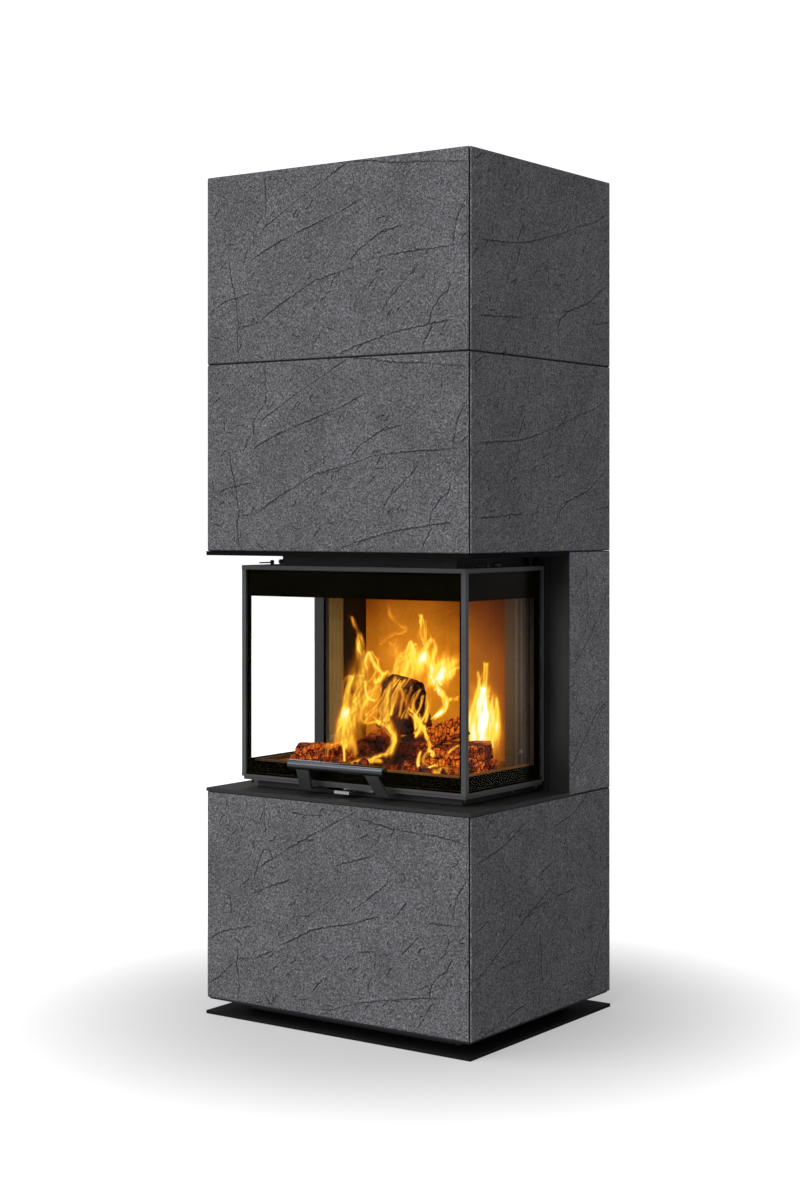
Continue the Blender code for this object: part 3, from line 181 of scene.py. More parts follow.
# Sheets of fire: foot (across, depth), turn in degrees, lean, and strokes of flame. Each stroke has its heat, and then
# its points in mm: along the sheet, height above the floor, half width, and so on.
VEILS = {
    "back": ((-0.0333, 0.0146), 35.3, 0.0, (
        (1.6, -120, 503, 10, -116, 524, 15, -112, 545, 12, -106, 570, 6),
        (0.8, -108, 560, 7, -103, 584, 6, -98, 609, 4, -89, 633, 2.5),
        (0.6, -106, 522, 6, -93, 544, 6, -75, 571, 5.5, -62, 593, 3.5),
        (0.5, -111, 588, 2.5, -109, 615, 3, -102, 633, 3, -80, 637, 2.5, -67, 633, 2),
        (0.85, -67, 624, 2, -67, 606, 2, -60, 593, 2, -49, 588, 1.5),
        (0.7, -78, 717, 1.5, -80, 704, 2, -80, 690, 2, -73, 679, 1.5),
        (0.36, -93, 748, 2, -84, 730, 3, -73, 712, 3, -62, 677, 2.5, -40, 668, 2),
        (0.72, -67, 668, 2, -58, 686, 2.5, -51, 668, 3, -45, 650, 2.5, -33, 637, 2),
        (0.5, -62, 650, 2, -71, 668, 2, -67, 686, 2),
        (0.7, -49, 628, 2, -45, 619, 2.5, -38, 633, 2.5, -22, 650, 2, -22, 637, 2),
        (0.62, -36, 606, 3.5, -22, 624, 4.5, -9, 650, 4.5, 0, 673, 3.5, 13, 677, 2.5),
        (0.36, -80, 553, 4, -62, 571, 4.5, -40, 588, 4.5, -18, 606, 3),
        (0.98, 9, 624, 6, 22, 650, 10.5, 35, 668, 12.5, 48, 677, 11.5, 57, 659, 9.5, 62, 644, 6),
        (0.8, 26, 650, 4.5, 26, 686, 4.5, 22, 704, 2.5, 15, 686, 2),
        (0.6, 40, 752, 1.5, 42, 735, 2, 40, 712, 2.5, 46, 695, 2.5, 49, 721, 2, 44, 743, 1.5),
        (0.75, 57, 650, 5.5, 66, 673, 5.5, 71, 690, 4, 66, 708, 2),
        (0.36, -22, 770, 1.5, -18, 752, 2, 4, 735, 2, 17, 721, 2, 0, 721, 2, -27, 708, 2, -36, 699, 1.5),
        (0.36, -9, 708, 1.5, -11, 690, 2, -22, 699, 1.5),
        (0.6, 0, 633, 3.5, -5, 659, 4.5, 4, 681, 3.5, 22, 690, 2.5),
        (0.8, 71, 650, 5.5, 84, 659, 7, 102, 668, 6, 114, 677, 4.5),
        (1.45, 68, 624, 6, 79, 637, 10.5, 93, 650, 11.5, 108, 664, 9),
        (0.75, -18, 593, 4.5, 0, 615, 6, 9, 633, 4.5),
        (0.34, -106, 535, 23, -80, 593, 24.5, -45, 619, 23),
        (0.38, -98, 562, 17.5, -71, 588, 19.5, -45, 597, 17.5, -18, 611, 13),
        (0.4, -80, 624, 17.5, -62, 659, 16, -75, 690, 6),
        (0.46, -106, 544, 9.5, -89, 575, 10.5, -67, 597, 9, -45, 615, 6),
        (0.5, -89, 588, 4, -71, 615, 5.5, -53, 633, 3.5, -40, 650, 2.5),
        (0.4, -62, 580, 4, -40, 593, 4.5, -22, 615, 3.5, -9, 633, 3),
        (0.32, 17, 650, 35, 62, 659, 31),
        (0.52, 0, 633, 17.5, 26, 650, 20, 62, 650, 17.5),
        (0.5, -18, 624, 9, 0, 650, 9.5, 13, 668, 7, 26, 690, 4.5),
        (0.55, 35, 668, 7, 53, 690, 5.5, 62, 708, 2.5),
    )),
    "side": ((0.0592, -0.116), 35.3, 0.0, (
        (1.45, 150, 514, 9, 151, 541, 17, 152, 566, 16, 154, 598, 9, 155, 624, 5),
        (0.92, 133, 520, 7, 136, 548, 11, 141, 576, 8, 147, 602, 4),
        (0.82, 168, 518, 6, 173, 546, 9, 172, 574, 6, 165, 600, 3),
        (0.75, 155, 624, 5.5, 159, 650, 4, 163, 671, 2),
        (0.78, 131, 560, 5.5, 136, 586, 5.5, 140, 607, 4.5, 144, 628, 3.5, 146, 654, 2),
        (0.75, 165, 505, 2.5, 170, 531, 4.5, 178, 560, 4.5, 182, 586, 3.5, 178, 607, 2),
        (0.85, 165, 569, 6, 165, 594, 5.5, 161, 611, 2.5),
        (0.3, 153, 535, 35, 153, 603, 22),
        (0.6, 127, 480, 2, 144, 492, 2.5, 161, 480, 2, 174, 473, 1.5),
    )),
    "front": ((0.0, -0.158), 0.0, 0.42, (
        (1.05, 133, 573, 1.5, 148, 582, 3, 159, 597, 3.5, 153, 611, 3, 136, 626, 2.5, 124, 638, 1.5),
        (0.58, 104, 556, 2, 94, 574, 3, 84, 592, 3, 84, 609, 2, 91, 622, 1),
        (0.62, 106, 558, 2, 117, 576, 3, 119, 596, 2.5, 111, 616, 1),
        (0.52, 99, 580, 1.5, 102, 596, 2, 99, 613, 1),
        (0.45, 76, 574, 2.5, 77, 591, 3, 70, 607, 2.5, 71, 628, 1.5),
        (0.42, 119, 568, 2.5, 122, 585, 3, 124, 605, 2.5, 111, 629, 1.5),
        (0.5, 55, 627, 1.5, 60, 639, 1.5, 71, 645, 1.5),
        (0.75, 77, 591, 1.5, 97, 575, 2.5, 116, 560, 2.5, 126, 545, 2, 145, 530, 1.5),
        (0.44, 34, 593, 2, 37, 618, 3, 48, 626, 3, 65, 602, 2),
        (0.7, 108, 572, 2.5, 116, 552, 4, 108, 543, 2),
        (0.82, 122, 514, 1.5, 121, 500, 2, 127, 490, 1.5, 138, 485, 1.5),
        (0.8, 141, 519, 1.5, 151, 518, 1.5, 155, 510, 1.5),
        (0.4, 142, 489, 3.5, 132, 505, 3.5, 139, 517, 2.5),
        (0.85, 184, 518, 1.5, 196, 527, 2, 205, 533, 1.5),
        (0.7, 138, 485, 1.5, 157, 490, 1.5, 166, 495, 1.5),
        (0.62, 11, 564, 2, 40, 555, 3, 59, 541, 3.5, 62, 520, 3.5, 55, 507, 3),
        (0.6, 55, 507, 2.5, 31, 498, 3, 2, 491, 2.5, -23, 486, 1.5),
        (0.4, 44, 560, 6, 64, 533, 6, 59, 510, 5),
        (0.5, -8, 557, 1.5, 17, 563, 2, 48, 548, 2, 55, 532, 1.5),
        (0.6, -28, 486, 2.5, -9, 491, 3.5, 22, 493, 3.5, 44, 491, 2.5),
        (0.92, -57, 523, 1.5, -49, 511, 2.5, -39, 489, 1.5),
        (0.72, -86, 515, 1.5, -82, 499, 1.5, -81, 491, 1.5),
        (0.55, -105, 489, 1.5, -103, 502, 1.5, -90, 511, 1.5, -65, 519, 2, -45, 522, 1.5),
        (0.4, -37, 531, 6, -23, 503, 6),
        (0.45, -34, 572, 2.5, -13, 557, 3, -8, 574, 2.5, 6, 583, 2),
        (0.55, 39, 576, 2.5, 42, 601, 4, 44, 622, 3.5, 52, 639, 2),
        (0.6, 30, 566, 6, 25, 595, 7, 24, 622, 6, 30, 640, 3.5),
        (0.32, -27, 569, 12, 2, 578, 12, 26, 584, 9),
        (0.45, -13, 574, 3, 3, 591, 3.5, 14, 608, 3, 19, 625, 2),
        (0.4, 60, 577, 2, 60, 602, 2.5, 63, 619, 2),
        (0.45, 11, 583, 3.5, 21, 600, 4.5, 27, 617, 3.5, 32, 634, 2.5),
        (0.55, 159, 607, 2, 168, 612, 2.5, 181, 612, 2),
        (0.45, 169, 483, 4.5, 192, 489, 5, 218, 485, 3.5),
    )),
}

# ---------------------------------------------------------------- sizes and colours


def a_colour(name, description, *colour):
    """A property that holds a colour."""
    return FloatVectorProperty(name=name, description=description, subtype="COLOR", default=colour, min=0, max=1)


def a_number(name, description, default, least, most, kind=FloatProperty, **unit):
    """A property that holds a number, plain or with a unit."""
    return kind(name=name, description=description, default=default, min=least, max=most, **unit)


def a_length(*values):
    """A property that holds a length in metres."""
    return a_number(*values, subtype="DISTANCE", unit="LENGTH")


class StoneLook(bpy.types.PropertyGroup):
    """Natural stone cladding."""

    colour: a_colour("Colour", "Ground colour of the stone", 0.182, 0.180, 0.196)
    grain: a_length("Grain", "Size of the leather-like grain", 0.0031, 0.001, 0.02)
    cell: a_length("Mesh cell", "Distance between points of a face", 0.0018, 0.001, 0.01)
    depth: a_length("Crease depth", "Depth of the main creases", 0.0007, 0, 0.002)
    chamfer: a_length("Chamfer", "Width of the ground edges", 0.0022, 0.0002, 0.005)
    thick: a_length("Thickness", "Thickness of a slab", 0.030, 0.01, 0.06)


class MetalLook(bpy.types.PropertyGroup):
    """Painted and bare metals."""

    plate: a_colour("Plates", "Powder coat of shelf and casing", 0.017, 0.0165, 0.016)
    profile: a_colour("Door profiles", "Powder coat of the door's profiles", 0.058, 0.060, 0.065)
    # The housing's paint is lighter than its own colour: painted light for the shade under the upper plate.
    housing: a_colour("Housing", "Heat paint of the housing above the door", 0.085, 0.084, 0.082)
    steel: a_colour("Handle steel", "Polished steel of the handle bar", 0.085, 0.090, 0.100)
    bracket: a_colour("Brackets", "Satin steel of the handle brackets", 0.050, 0.051, 0.053)
    bronze: a_colour("Screws", "Heat-tinted screws and pins", 0.20, 0.17, 0.13)
    zinc: a_colour("Zinc", "Zinc-plated lift parts", 0.42, 0.43, 0.45)
    iron: a_colour("Weights", "Counterweight iron", 0.10, 0.10, 0.105)


class GlassLook(bpy.types.PropertyGroup):
    """Panes and their black borders."""

    bend: a_number("Index of refraction", "How strongly the coated pane bends and mirrors", 1.06, 1.0, 2.0)
    top: a_length("Upper band", "Height of the black band at the top", 0.050, 0, 0.1)
    low: a_length("Lower band", "Height of the black band at the bottom", 0.0225, 0, 0.1)
    side: a_length("Rear border", "Width of the black border at a side pane's rear", 0.020, 0, 0.1)
    edge: a_length("Corner border", "Width of the black border at the corners", 0.0060, 0, 0.1)


class HearthLook(bpy.types.PropertyGroup):
    """Linings, rim and columns."""

    lining: a_colour("Lining", "Colour of the lining boards", 0.050, 0.018, 0.002)
    rim: a_colour("Rim", "Colour of the hearth rim", 0.085, 0.052, 0.026)
    column: a_colour("Columns", "Colour of the columns and cover strips", 0.085, 0.058, 0.038)
    glow: a_number("Fire light", "How strongly the fire lights the linings", 0.90, 0, 5)
    lamp: a_number("Fire lamp", "Power of the lamp in the flames", 1.2, 0, 50, subtype="POWER", unit="POWER")


class FireLook(bpy.types.PropertyGroup):
    """Wood, embers and flames."""

    char: a_colour("Char", "Colour of charred wood", 0.018, 0.011, 0.008)
    ember: a_colour("Ember", "Colour of glowing cracks", 0.75, 0.070, 0.006)
    flame: a_colour("Flame", "Colour of the outer flames", 1.0, 0.38, 0.025)
    strength: a_number("Flame strength", "Brightness of the flames", 1.15, 0, 20)
    sheet: a_length("Flame cell", "Distance between points of a sheet of fire", 0.0012, 0.0005, 0.01)
    lumps: a_number("Charcoal", "Number of charcoal pieces in the ember bed", 260, 0, 600, IntProperty)


class FittingLook(bpy.types.PropertyGroup):
    """Handle, screws and small fittings."""

    screw: a_length("Screw head", "Radius of a screw head", 0.0034, 0.001, 0.01)
    segments: a_number("Segments", "Facets around the handle bar", 48, 12, 128, IntProperty)


class StageLook(bpy.types.PropertyGroup):
    """Floor and lamps."""

    floor: a_colour("Floor", "Colour of the floor", 0.30, 0.30, 0.30)
    lift: a_number("Floor brightness", "Brightness of the floor far from the fireplace", 1.0, 0, 1)
    ambient: a_number("Room light", "Even light from all around", 0.52, 0, 3)
    mirror: a_number("Mirrored light", "Brightness of the room in glossy surfaces", 0.36, 0, 3)
    key: a_number("Key light", "Strength of the soft key light", 2.4, 0, 20)


class FireplaceLook(bpy.types.PropertyGroup):
    """All sizes and colours of the fireplace's looks."""

    stone: PointerProperty(type=StoneLook)
    metal: PointerProperty(type=MetalLook)
    glass: PointerProperty(type=GlassLook)
    hearth: PointerProperty(type=HearthLook)
    fire: PointerProperty(type=FireLook)
    fitting: PointerProperty(type=FittingLook)
    stage: PointerProperty(type=StageLook)


# ---------------------------------------------------------------- meshes


def corners(node):
    """The lowest and the highest corner of a CAD node's box."""
    return tuple(np.array(corner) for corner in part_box(node))


def finish_of(node):
    """The material that a CAD node has been given."""
    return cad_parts[node].material_slots[0].material


def grid_faces(rows, columns, wrap=False):
    """Quads between neighbouring rows of points counted row by row; wrap joins the last column to the first."""
    row = np.arange(rows - 1)[:, None] * columns
    column = np.arange(columns if wrap else columns - 1)[None, :]
    after = (column + 1) % columns
    quads = np.stack((row + column, row + after, row + columns + after, row + columns + column), axis=-1)
    return quads.reshape(-1, 4)


def grid_rim(rows, columns):
    """The edge points of such a grid, anticlockwise from its first corner."""
    number = np.arange(rows * columns).reshape(rows, columns)
    return np.concatenate((number[0, :-1], number[:-1, -1], number[-1, :0:-1], number[:0:-1, 0]))


def band_faces(near, far):
    """Quads between two closed rings with equally many points, facing away from the ring's middle."""
    return np.stack((near, far, np.roll(far, -1), np.roll(near, -1)), axis=1)


def make_mesh(name, points, face_sets, smooth, marks=None):
    """A mesh from points, arrays of faces, a smooth flag for each array, and arrays of values kept on its points."""
    mesh = bpy.data.meshes.new(name)
    points = np.asarray(points, np.float32).reshape(-1, 3)
    mesh.vertices.add(len(points))
    mesh.vertices.foreach_set("co", points.ravel())
    sizes = np.concatenate([np.full(len(faces), faces.shape[1]) for faces in face_sets])
    loops = np.concatenate([faces.ravel() for faces in face_sets]).astype(np.int32)
    mesh.loops.add(len(loops))
    mesh.loops.foreach_set("vertex_index", loops)
    mesh.polygons.add(len(sizes))
    mesh.polygons.foreach_set("loop_start", np.concatenate(([0], np.cumsum(sizes)[:-1])).astype(np.int32))
    flags = np.concatenate([np.full(len(faces), flag) for faces, flag in zip(face_sets, smooth)])
    mesh.polygons.foreach_set("use_smooth", flags)
    for mark, values in (marks or {}).items():
        values = np.asarray(values, np.float32)
        kind, socket = ("FLOAT_VECTOR", "vector") if values.ndim == 2 else ("FLOAT", "value")
        mesh.attributes.new(mark, kind, "POINT").data.foreach_set(socket, values.ravel())
    mesh.update(calc_edges=True)
    mesh.validate()
    return mesh


def place(name, mesh, material, slot, body="body", replaces=()):
    """Shows a mesh as a piece of the fireplace that rides on a body and stands for the CAD nodes named."""
    piece = bpy.data.objects.new(name, mesh)
    bpy.context.scene.collection.objects.link(piece)
    mesh.materials.append(material)
    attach(piece, body)
    if replaces:
        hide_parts(*replaces)
    return piece


def closed_tube(rings):
    """Points and faces of a tube through rings of points, its two ends closed by fans around their middles.
    Seen along the tube the rings run anticlockwise from behind, so that the faces point outwards."""
    rows, columns = rings.shape[:2]
    points = np.concatenate((rings.reshape(-1, 3), rings[:1].mean(1), rings[-1:].mean(1)))
    first, last = np.arange(columns), np.arange(columns) + (rows - 1) * columns
    foot, head = np.full(columns, rows * columns), np.full(columns, rows * columns + 1)
    fans = (np.stack((np.roll(first, -1), first, foot), 1), np.stack((last, np.roll(last, -1), head), 1))
    return points, grid_faces(rows, columns, wrap=True), np.concatenate(fans)


def turned(profile, start, direction, segments):
    """A profile of (radius, distance) pairs carried once around an axis that starts at a point."""
    profile = np.asarray(profile, float)
    angle = np.linspace(0, 2 * np.pi, segments, endpoint=False)
    z = np.asarray(direction, float) / np.linalg.norm(direction)
    x = np.cross((0, 0, 1) if abs(z[2]) < 0.9 else (0, 1, 0), z)
    x /= np.linalg.norm(x)
    around = np.cos(angle)[:, None] * x + np.sin(angle)[:, None] * np.cross(z, x)
    rings = profile[:, 0, None, None] * around + profile[:, 1, None, None] * z + np.asarray(start, float)
    return closed_tube(rings)


def sheet_box(one, other):
    """Points and faces of a thin box between two opposite corners."""
    pick = (np.arange(8)[:, None] >> np.arange(3)) & 1
    points = np.where(pick, np.maximum(one, other), np.minimum(one, other))
    quads = np.array(((0, 2, 3, 1), (4, 5, 7, 6), (0, 1, 5, 4), (2, 6, 7, 3), (0, 4, 6, 2), (1, 3, 7, 5)))
    return points, quads, np.zeros((0, 3), int)


def place_joined(name, parts, smooth, *how, **more):
    """Shows several (points, quads, fans) as one piece, their face numbers moved on."""
    points, quads, fans = zip(*parts)
    first = np.cumsum([0] + [len(spots) for spots in points])
    faces = [np.concatenate([found + start for found, start in zip(kind, first)]) for kind in (quads, fans)]
    return place(name, make_mesh(name, np.concatenate(points), faces, (smooth, smooth)), *how, **more)


def waves(points, seed, size, octaves=4):
    """A smooth random value, about -1 to 1, at each point: octaves of cosine waves in random directions,
    each octave half as long and half as high as the one before."""
    random = np.random.default_rng(seed)
    total = np.zeros(points.shape[:-1])
    for octave in range(octaves):
        direction = random.normal(size=(8, 3))
        direction *= 2 * np.pi * 2**octave / (size * np.linalg.norm(direction, axis=1, keepdims=True))
        phase = random.uniform(0, 2 * np.pi, 8)
        total += np.cos(points @ direction.T + phase).sum(-1) / (4 * 2**octave)
    return total


# ---------------------------------------------------------------- node trees


class Graph:
    """A node tree, with short calls that add a node and wire it."""

    def __init__(self, tree):
        self.tree = tree

    def add(self, kind, inputs=None, **settings):
        node = self.tree.nodes.new(kind)
        for key, value in settings.items():
            setattr(node, key, value)
        for key, value in (inputs or {}).items():
            self.feed(node.inputs[key], value)
        return node

    def feed(self, socket, value):
        if isinstance(value, bpy.types.NodeSocket):
            self.tree.links.new(value, socket)
        else:
            socket.default_value = value

    def math(self, operation, a, b=0.0, clamp=False):
        return self.add("ShaderNodeMath", {0: a, 1: b}, operation=operation, use_clamp=clamp).outputs[0]

    def plus(self, a, b):
        return self.math("ADD", a, b)

    def minus(self, a, b, clamp=False):
        return self.math("SUBTRACT", a, b, clamp)

    def times(self, a, *others):
        for other in others:
            a = self.math("MULTIPLY", a, other)
        return a

    def span(self, value, low, high, to_low=0.0, to_high=1.0):
        """Maps low..high smoothly to to_low..to_high."""
        inputs = {0: value, 1: low, 2: high, 3: to_low, 4: to_high}
        return self.add("ShaderNodeMapRange", inputs, interpolation_type="SMOOTHSTEP").outputs[0]

    def vary(self, noise, low, high):
        """Maps the usual range of a noise to low..high."""
        return self.span(noise, 0.3, 0.7, low, high)

    def vein(self, noise, middle, near, far):
        """0 to 1 by how far a noise is from a middle value."""
        return self.span(self.math("ABSOLUTE", self.minus(noise, middle)), near, far)

    def blend(self, factor, a, b, blend_type="MIX"):
        a, b = (v if isinstance(v, bpy.types.NodeSocket) else (*v, 1.0)[:4] for v in (a, b))
        return self.add("ShaderNodeMix", {0: factor, 6: a, 7: b}, data_type="RGBA", blend_type=blend_type).outputs[2]

    def mix(self, factor, a, b):
        return self.add("ShaderNodeMix", {0: factor, 2: a, 3: b}).outputs[0]

    def shade(self, colour, value):
        """A colour times a value."""
        grey = self.add("ShaderNodeCombineColor", {0: value, 1: value, 2: value}).outputs[0]
        return self.blend(1.0, colour, grey, "MULTIPLY")

    def noise(self, vector, scale, detail=2.0, roughness=0.5, distortion=0.0, output=0):
        inputs = {"Vector": vector, "Scale": scale, "Detail": detail, "Roughness": roughness, "Distortion": distortion}
        return self.add("ShaderNodeTexNoise", inputs).outputs[output]

    def cracks(self, vector, randomness=1.0):
        """Distance to the border between cells."""
        inputs = {"Vector": vector, "Scale": 1.0, "Randomness": randomness}
        return self.add("ShaderNodeTexVoronoi", inputs, feature="DISTANCE_TO_EDGE").outputs["Distance"]

    def stretch(self, vector, *scale):
        return self.add("ShaderNodeMapping", {"Vector": vector, "Scale": scale}).outputs[0]

    def bump(self, height, distance):
        return self.add("ShaderNodeBump", {"Height": height, "Distance": distance, "Strength": 1.0}).outputs[0]

    def position(self):
        return self.add("ShaderNodeTexCoord").outputs["Object"]

    def distance(self, vector, point):
        return self.add("ShaderNodeVectorMath", {0: vector, 1: point}, operation="DISTANCE").outputs["Value"]

    def mark(self, name, output="Fac"):
        return self.add("ShaderNodeAttribute", attribute_name=name).outputs[output]

    def use(self, group, **inputs):
        return self.add("ShaderNodeGroup", inputs, node_tree=group).outputs


class Finish(Graph):
    """A Principled material. Its sockets that are the same all over are set as it is made."""

    def __init__(self, name, **plain):
        self.material = bpy.data.materials.new(name)
        self.material.use_nodes = True
        super().__init__(self.material.node_tree)
        self.shader = self.tree.nodes["Principled BSDF"].inputs
        self.put(**plain)

    def put(self, **values):
        """Sets or wires sockets of the shader and gives the material."""
        for key, value in values.items():
            self.feed(self.shader[key.replace("_", " ")], value)
        return self.material


def shared_group(name, inputs, outputs, wire):
    """A shader node group with named sockets, wired by a function when it is first asked for."""
    tree = bpy.data.node_groups.get(name)
    if tree is None:
        tree = bpy.data.node_groups.new(name, "ShaderNodeTree")
        for label, (kind, default) in inputs.items():
            socket = tree.interface.new_socket(label, in_out="INPUT", socket_type=f"NodeSocket{kind}")
            socket.default_value = default
        for label, kind in outputs.items():
            tree.interface.new_socket(label, in_out="OUTPUT", socket_type=f"NodeSocket{kind}")
        graph, out = Graph(tree), tree.nodes.new("NodeGroupOutput").inputs
        for label, value in wire(graph, tree.nodes.new("NodeGroupInput").outputs).items():
            graph.feed(out[label], value)
    return tree


def grain_group():
    """Leather-like grain at a given size: fine bumps, thin dark wrinkles where a slower noise crosses its middle,
    and thin light ridges where another one does."""

    def wire(g, given):
        where, scale = given["Vector"], g.math("DIVIDE", 1.0, given["Size"])
        fine = g.noise(where, scale, 1.5, 0.6, 0.8)
        slow = g.noise(where, g.times(scale, 0.42), 2.0, 0.6, 1.6)
        other = g.noise(g.stretch(where, 1.0, 1.0, 0.8), g.times(scale, 0.55), 1.5, 0.55, 1.2)
        dark, light = g.vein(slow, 0.5, 0.0, 0.045), g.vein(other, 0.52, 0.05, 0.0)
        shade = g.plus(g.span(fine, 0.32, 0.68, 0.40, 1.48), g.times(light, 0.42))
        return {
            "Height": g.plus(g.times(fine, 0.7), g.times(g.plus(dark, light), 0.25)),
            "Shade": g.times(shade, g.span(dark, 0.0, 1.0, 0.55, 1.0)),
        }

    inputs = {"Vector": ("Vector", (0, 0, 0)), "Size": ("Float", 0.004)}
    return shared_group("leather_grain", inputs, {"Height": "Float", "Shade": "Float"}, wire)


def coat_group():
    """Powder coat: a fine orange peel, and slow changes of shade and gloss."""

    def wire(g, given):
        slow, fine = g.noise(given["Vector"], 7.0, 4.0, 0.6), g.noise(given["Vector"], 900.0, 1.0)
        tone = g.plus(g.vary(slow, 0.86, 1.10), g.vary(fine, -0.05, 0.05))
        gloss = g.plus(given["Gloss"], g.vary(slow, -0.06, 0.06))
        return {"Colour": g.shade(given["Colour"], tone), "Roughness": gloss, "Height": fine}

    inputs = {"Vector": ("Vector", (0, 0, 0)), "Colour": ("Color", (0.05, 0.05, 0.05, 1)), "Gloss": ("Float", 0.5)}
    return shared_group("powder_coat", inputs, {"Colour": "Color", "Roughness": "Float", "Height": "Float"}, wire)


def glow_group():
    """Fire light by place across and height: a bell around the flames' middle that narrows towards the ceiling, above
    the hearth only. Its colour goes from deep orange where it is weak to yellow where it is strong."""

    def wire(g, given):
        place = g.add("ShaderNodeSeparateXYZ", {0: given["Vector"]}).outputs
        wide = g.span(place["Z"], 0.66, 0.84, 0.215, 0.110)
        side = g.math("DIVIDE", g.minus(place["X"], given["Middle"]), wide)
        rise = g.math("DIVIDE", g.math("MAXIMUM", g.minus(place["Z"], 0.63), 0.0), 0.205)
        away = g.plus(g.times(side, side), g.times(rise, rise))
        light = g.times(g.math("EXPONENT", g.times(away, -1.0)), g.span(place["Z"], 0.466, 0.4735))
        flicker = g.span(g.noise(given["Vector"], 16.0, 2.0), 0.25, 0.75, 0.86, 1.12)
        colour = g.blend(g.span(light, 0.1, 0.95), (0.56, 0.105, 0.002), (0.73, 0.232, 0.009))
        return {"Light": g.times(light, flicker), "Colour": colour}

    inputs = {"Vector": ("Vector", (0, 0, 0)), "Middle": ("Float", -0.06)}
    return shared_group("fire_light", inputs, {"Light": "Float", "Colour": "Color"}, wire)


def stone_material(name, look, light=1.0):
    """Natural stone: a clouded ground under leather-like grain, with painted shade in creases and seams and painted
    highlights on lips.
    """
    m = Finish(name, Specular_IOR_Level=0.3)
    where = m.position()
    grain = m.use(grain_group(), Vector=where, Size=look.grain)
    crease = m.mark("stone_crease_and_painted_shade")
    deep, pale = (tuple(c * share * light for c in look.colour) for share in (0.90, 1.10))
    ground = m.blend(m.span(m.noise(where, 9.0, 4.0, 0.6), 0.35, 0.65), deep, pale)
    # Painted shade and highlight: the crease mark darkens the colour in creases and seams, and lightens it on lips and
    # side chamfers.
    worn = m.plus(m.span(crease, 0.10, 0.75, 1.0, 0.10), m.span(crease, -0.04, -0.8, 0.0, 1.5))
    return m.put(
        Base_Color=m.shade(m.shade(ground, grain["Shade"]), worn),
        Roughness=m.span(grain["Height"], 0.3, 0.9, 0.72, 0.56),
        Normal=m.bump(grain["Height"], 0.0034),
    )


def coat_material(name, colour, gloss, distance=0.00012, shine=0.4):
    """Powder coat or heat paint."""
    m = Finish(name, Specular_IOR_Level=shine)
    coat = m.use(coat_group(), Vector=m.position(), Colour=(*colour, 1), Gloss=gloss)
    return m.put(Base_Color=coat["Colour"], Roughness=coat["Roughness"], Normal=m.bump(coat["Height"], distance))


def brushed_material(name, colour, along, gloss, painted_streaks=0.0):
    """Bare metal drawn along one axis: noise stretched that way changes its gloss and shade in fine lines, and paints
    reflection streaks in bands.
    """
    m = Finish(name, Metallic=1.0)
    where = m.position()
    brush = m.noise(m.stretch(where, *(14.0 if axis == along else 1100.0 for axis in "XYZ")), 1.0, 3.0, 0.6)
    broad = m.noise(m.stretch(where, *(1.0 if axis == along else 286.0 for axis in "XYZ")), 1.0, 1.0)
    # Painted reflection: the bands lighten and darken it in streaks along the axis.
    tone = m.plus(m.vary(brush, 0.85, 1.12), m.span(broad, 0.36, 0.64, -painted_streaks, 1.6 * painted_streaks))
    slow = m.vary(m.noise(where, 30.0, 2.0), gloss - 0.05, gloss + 0.05)
    return m.put(
        Base_Color=m.shade(colour, tone),
        Roughness=m.plus(slow, m.vary(brush, -0.04, 0.04)),
        Normal=m.bump(brush, 0.00006),
    )


def cast_material(name, colour):
    """Rough cast iron."""
    m = Finish(name, Metallic=0.5)
    grit = m.noise(m.position(), 320.0, 4.0, 0.7)
    return m.put(
        Base_Color=m.shade(colour, m.vary(grit, 0.7, 1.15)),
        Roughness=m.vary(grit, 0.75, 0.6),
        Normal=m.bump(grit, 0.0006),
    )


def glass_material(look):
    """Clear coated glass with a trace of haze."""
    m = Finish("coated_glass", IOR=look.bend, Transmission_Weight=1.0, Roughness=0.0)
    haze = m.vary(m.noise(m.position(), 6.0, 3.0), 0.0, 1.0)
    return m.put(Base_Color=m.blend(haze, (0.955, 0.965, 0.96), (0.985, 0.99, 0.988)))


def enamel_material():
    """Black enamel printed on the glass."""
    m = Finish("black_enamel", Specular_IOR_Level=0.0)
    speck = m.noise(m.position(), 260.0, 3.0, 0.6)
    colour = m.blend(m.span(speck, 0.4, 0.7), (0.0030, 0.0022, 0.0002), (0.0046, 0.0034, 0.0004))
    return m.put(Base_Color=colour, Roughness=m.vary(speck, 0.60, 0.75))


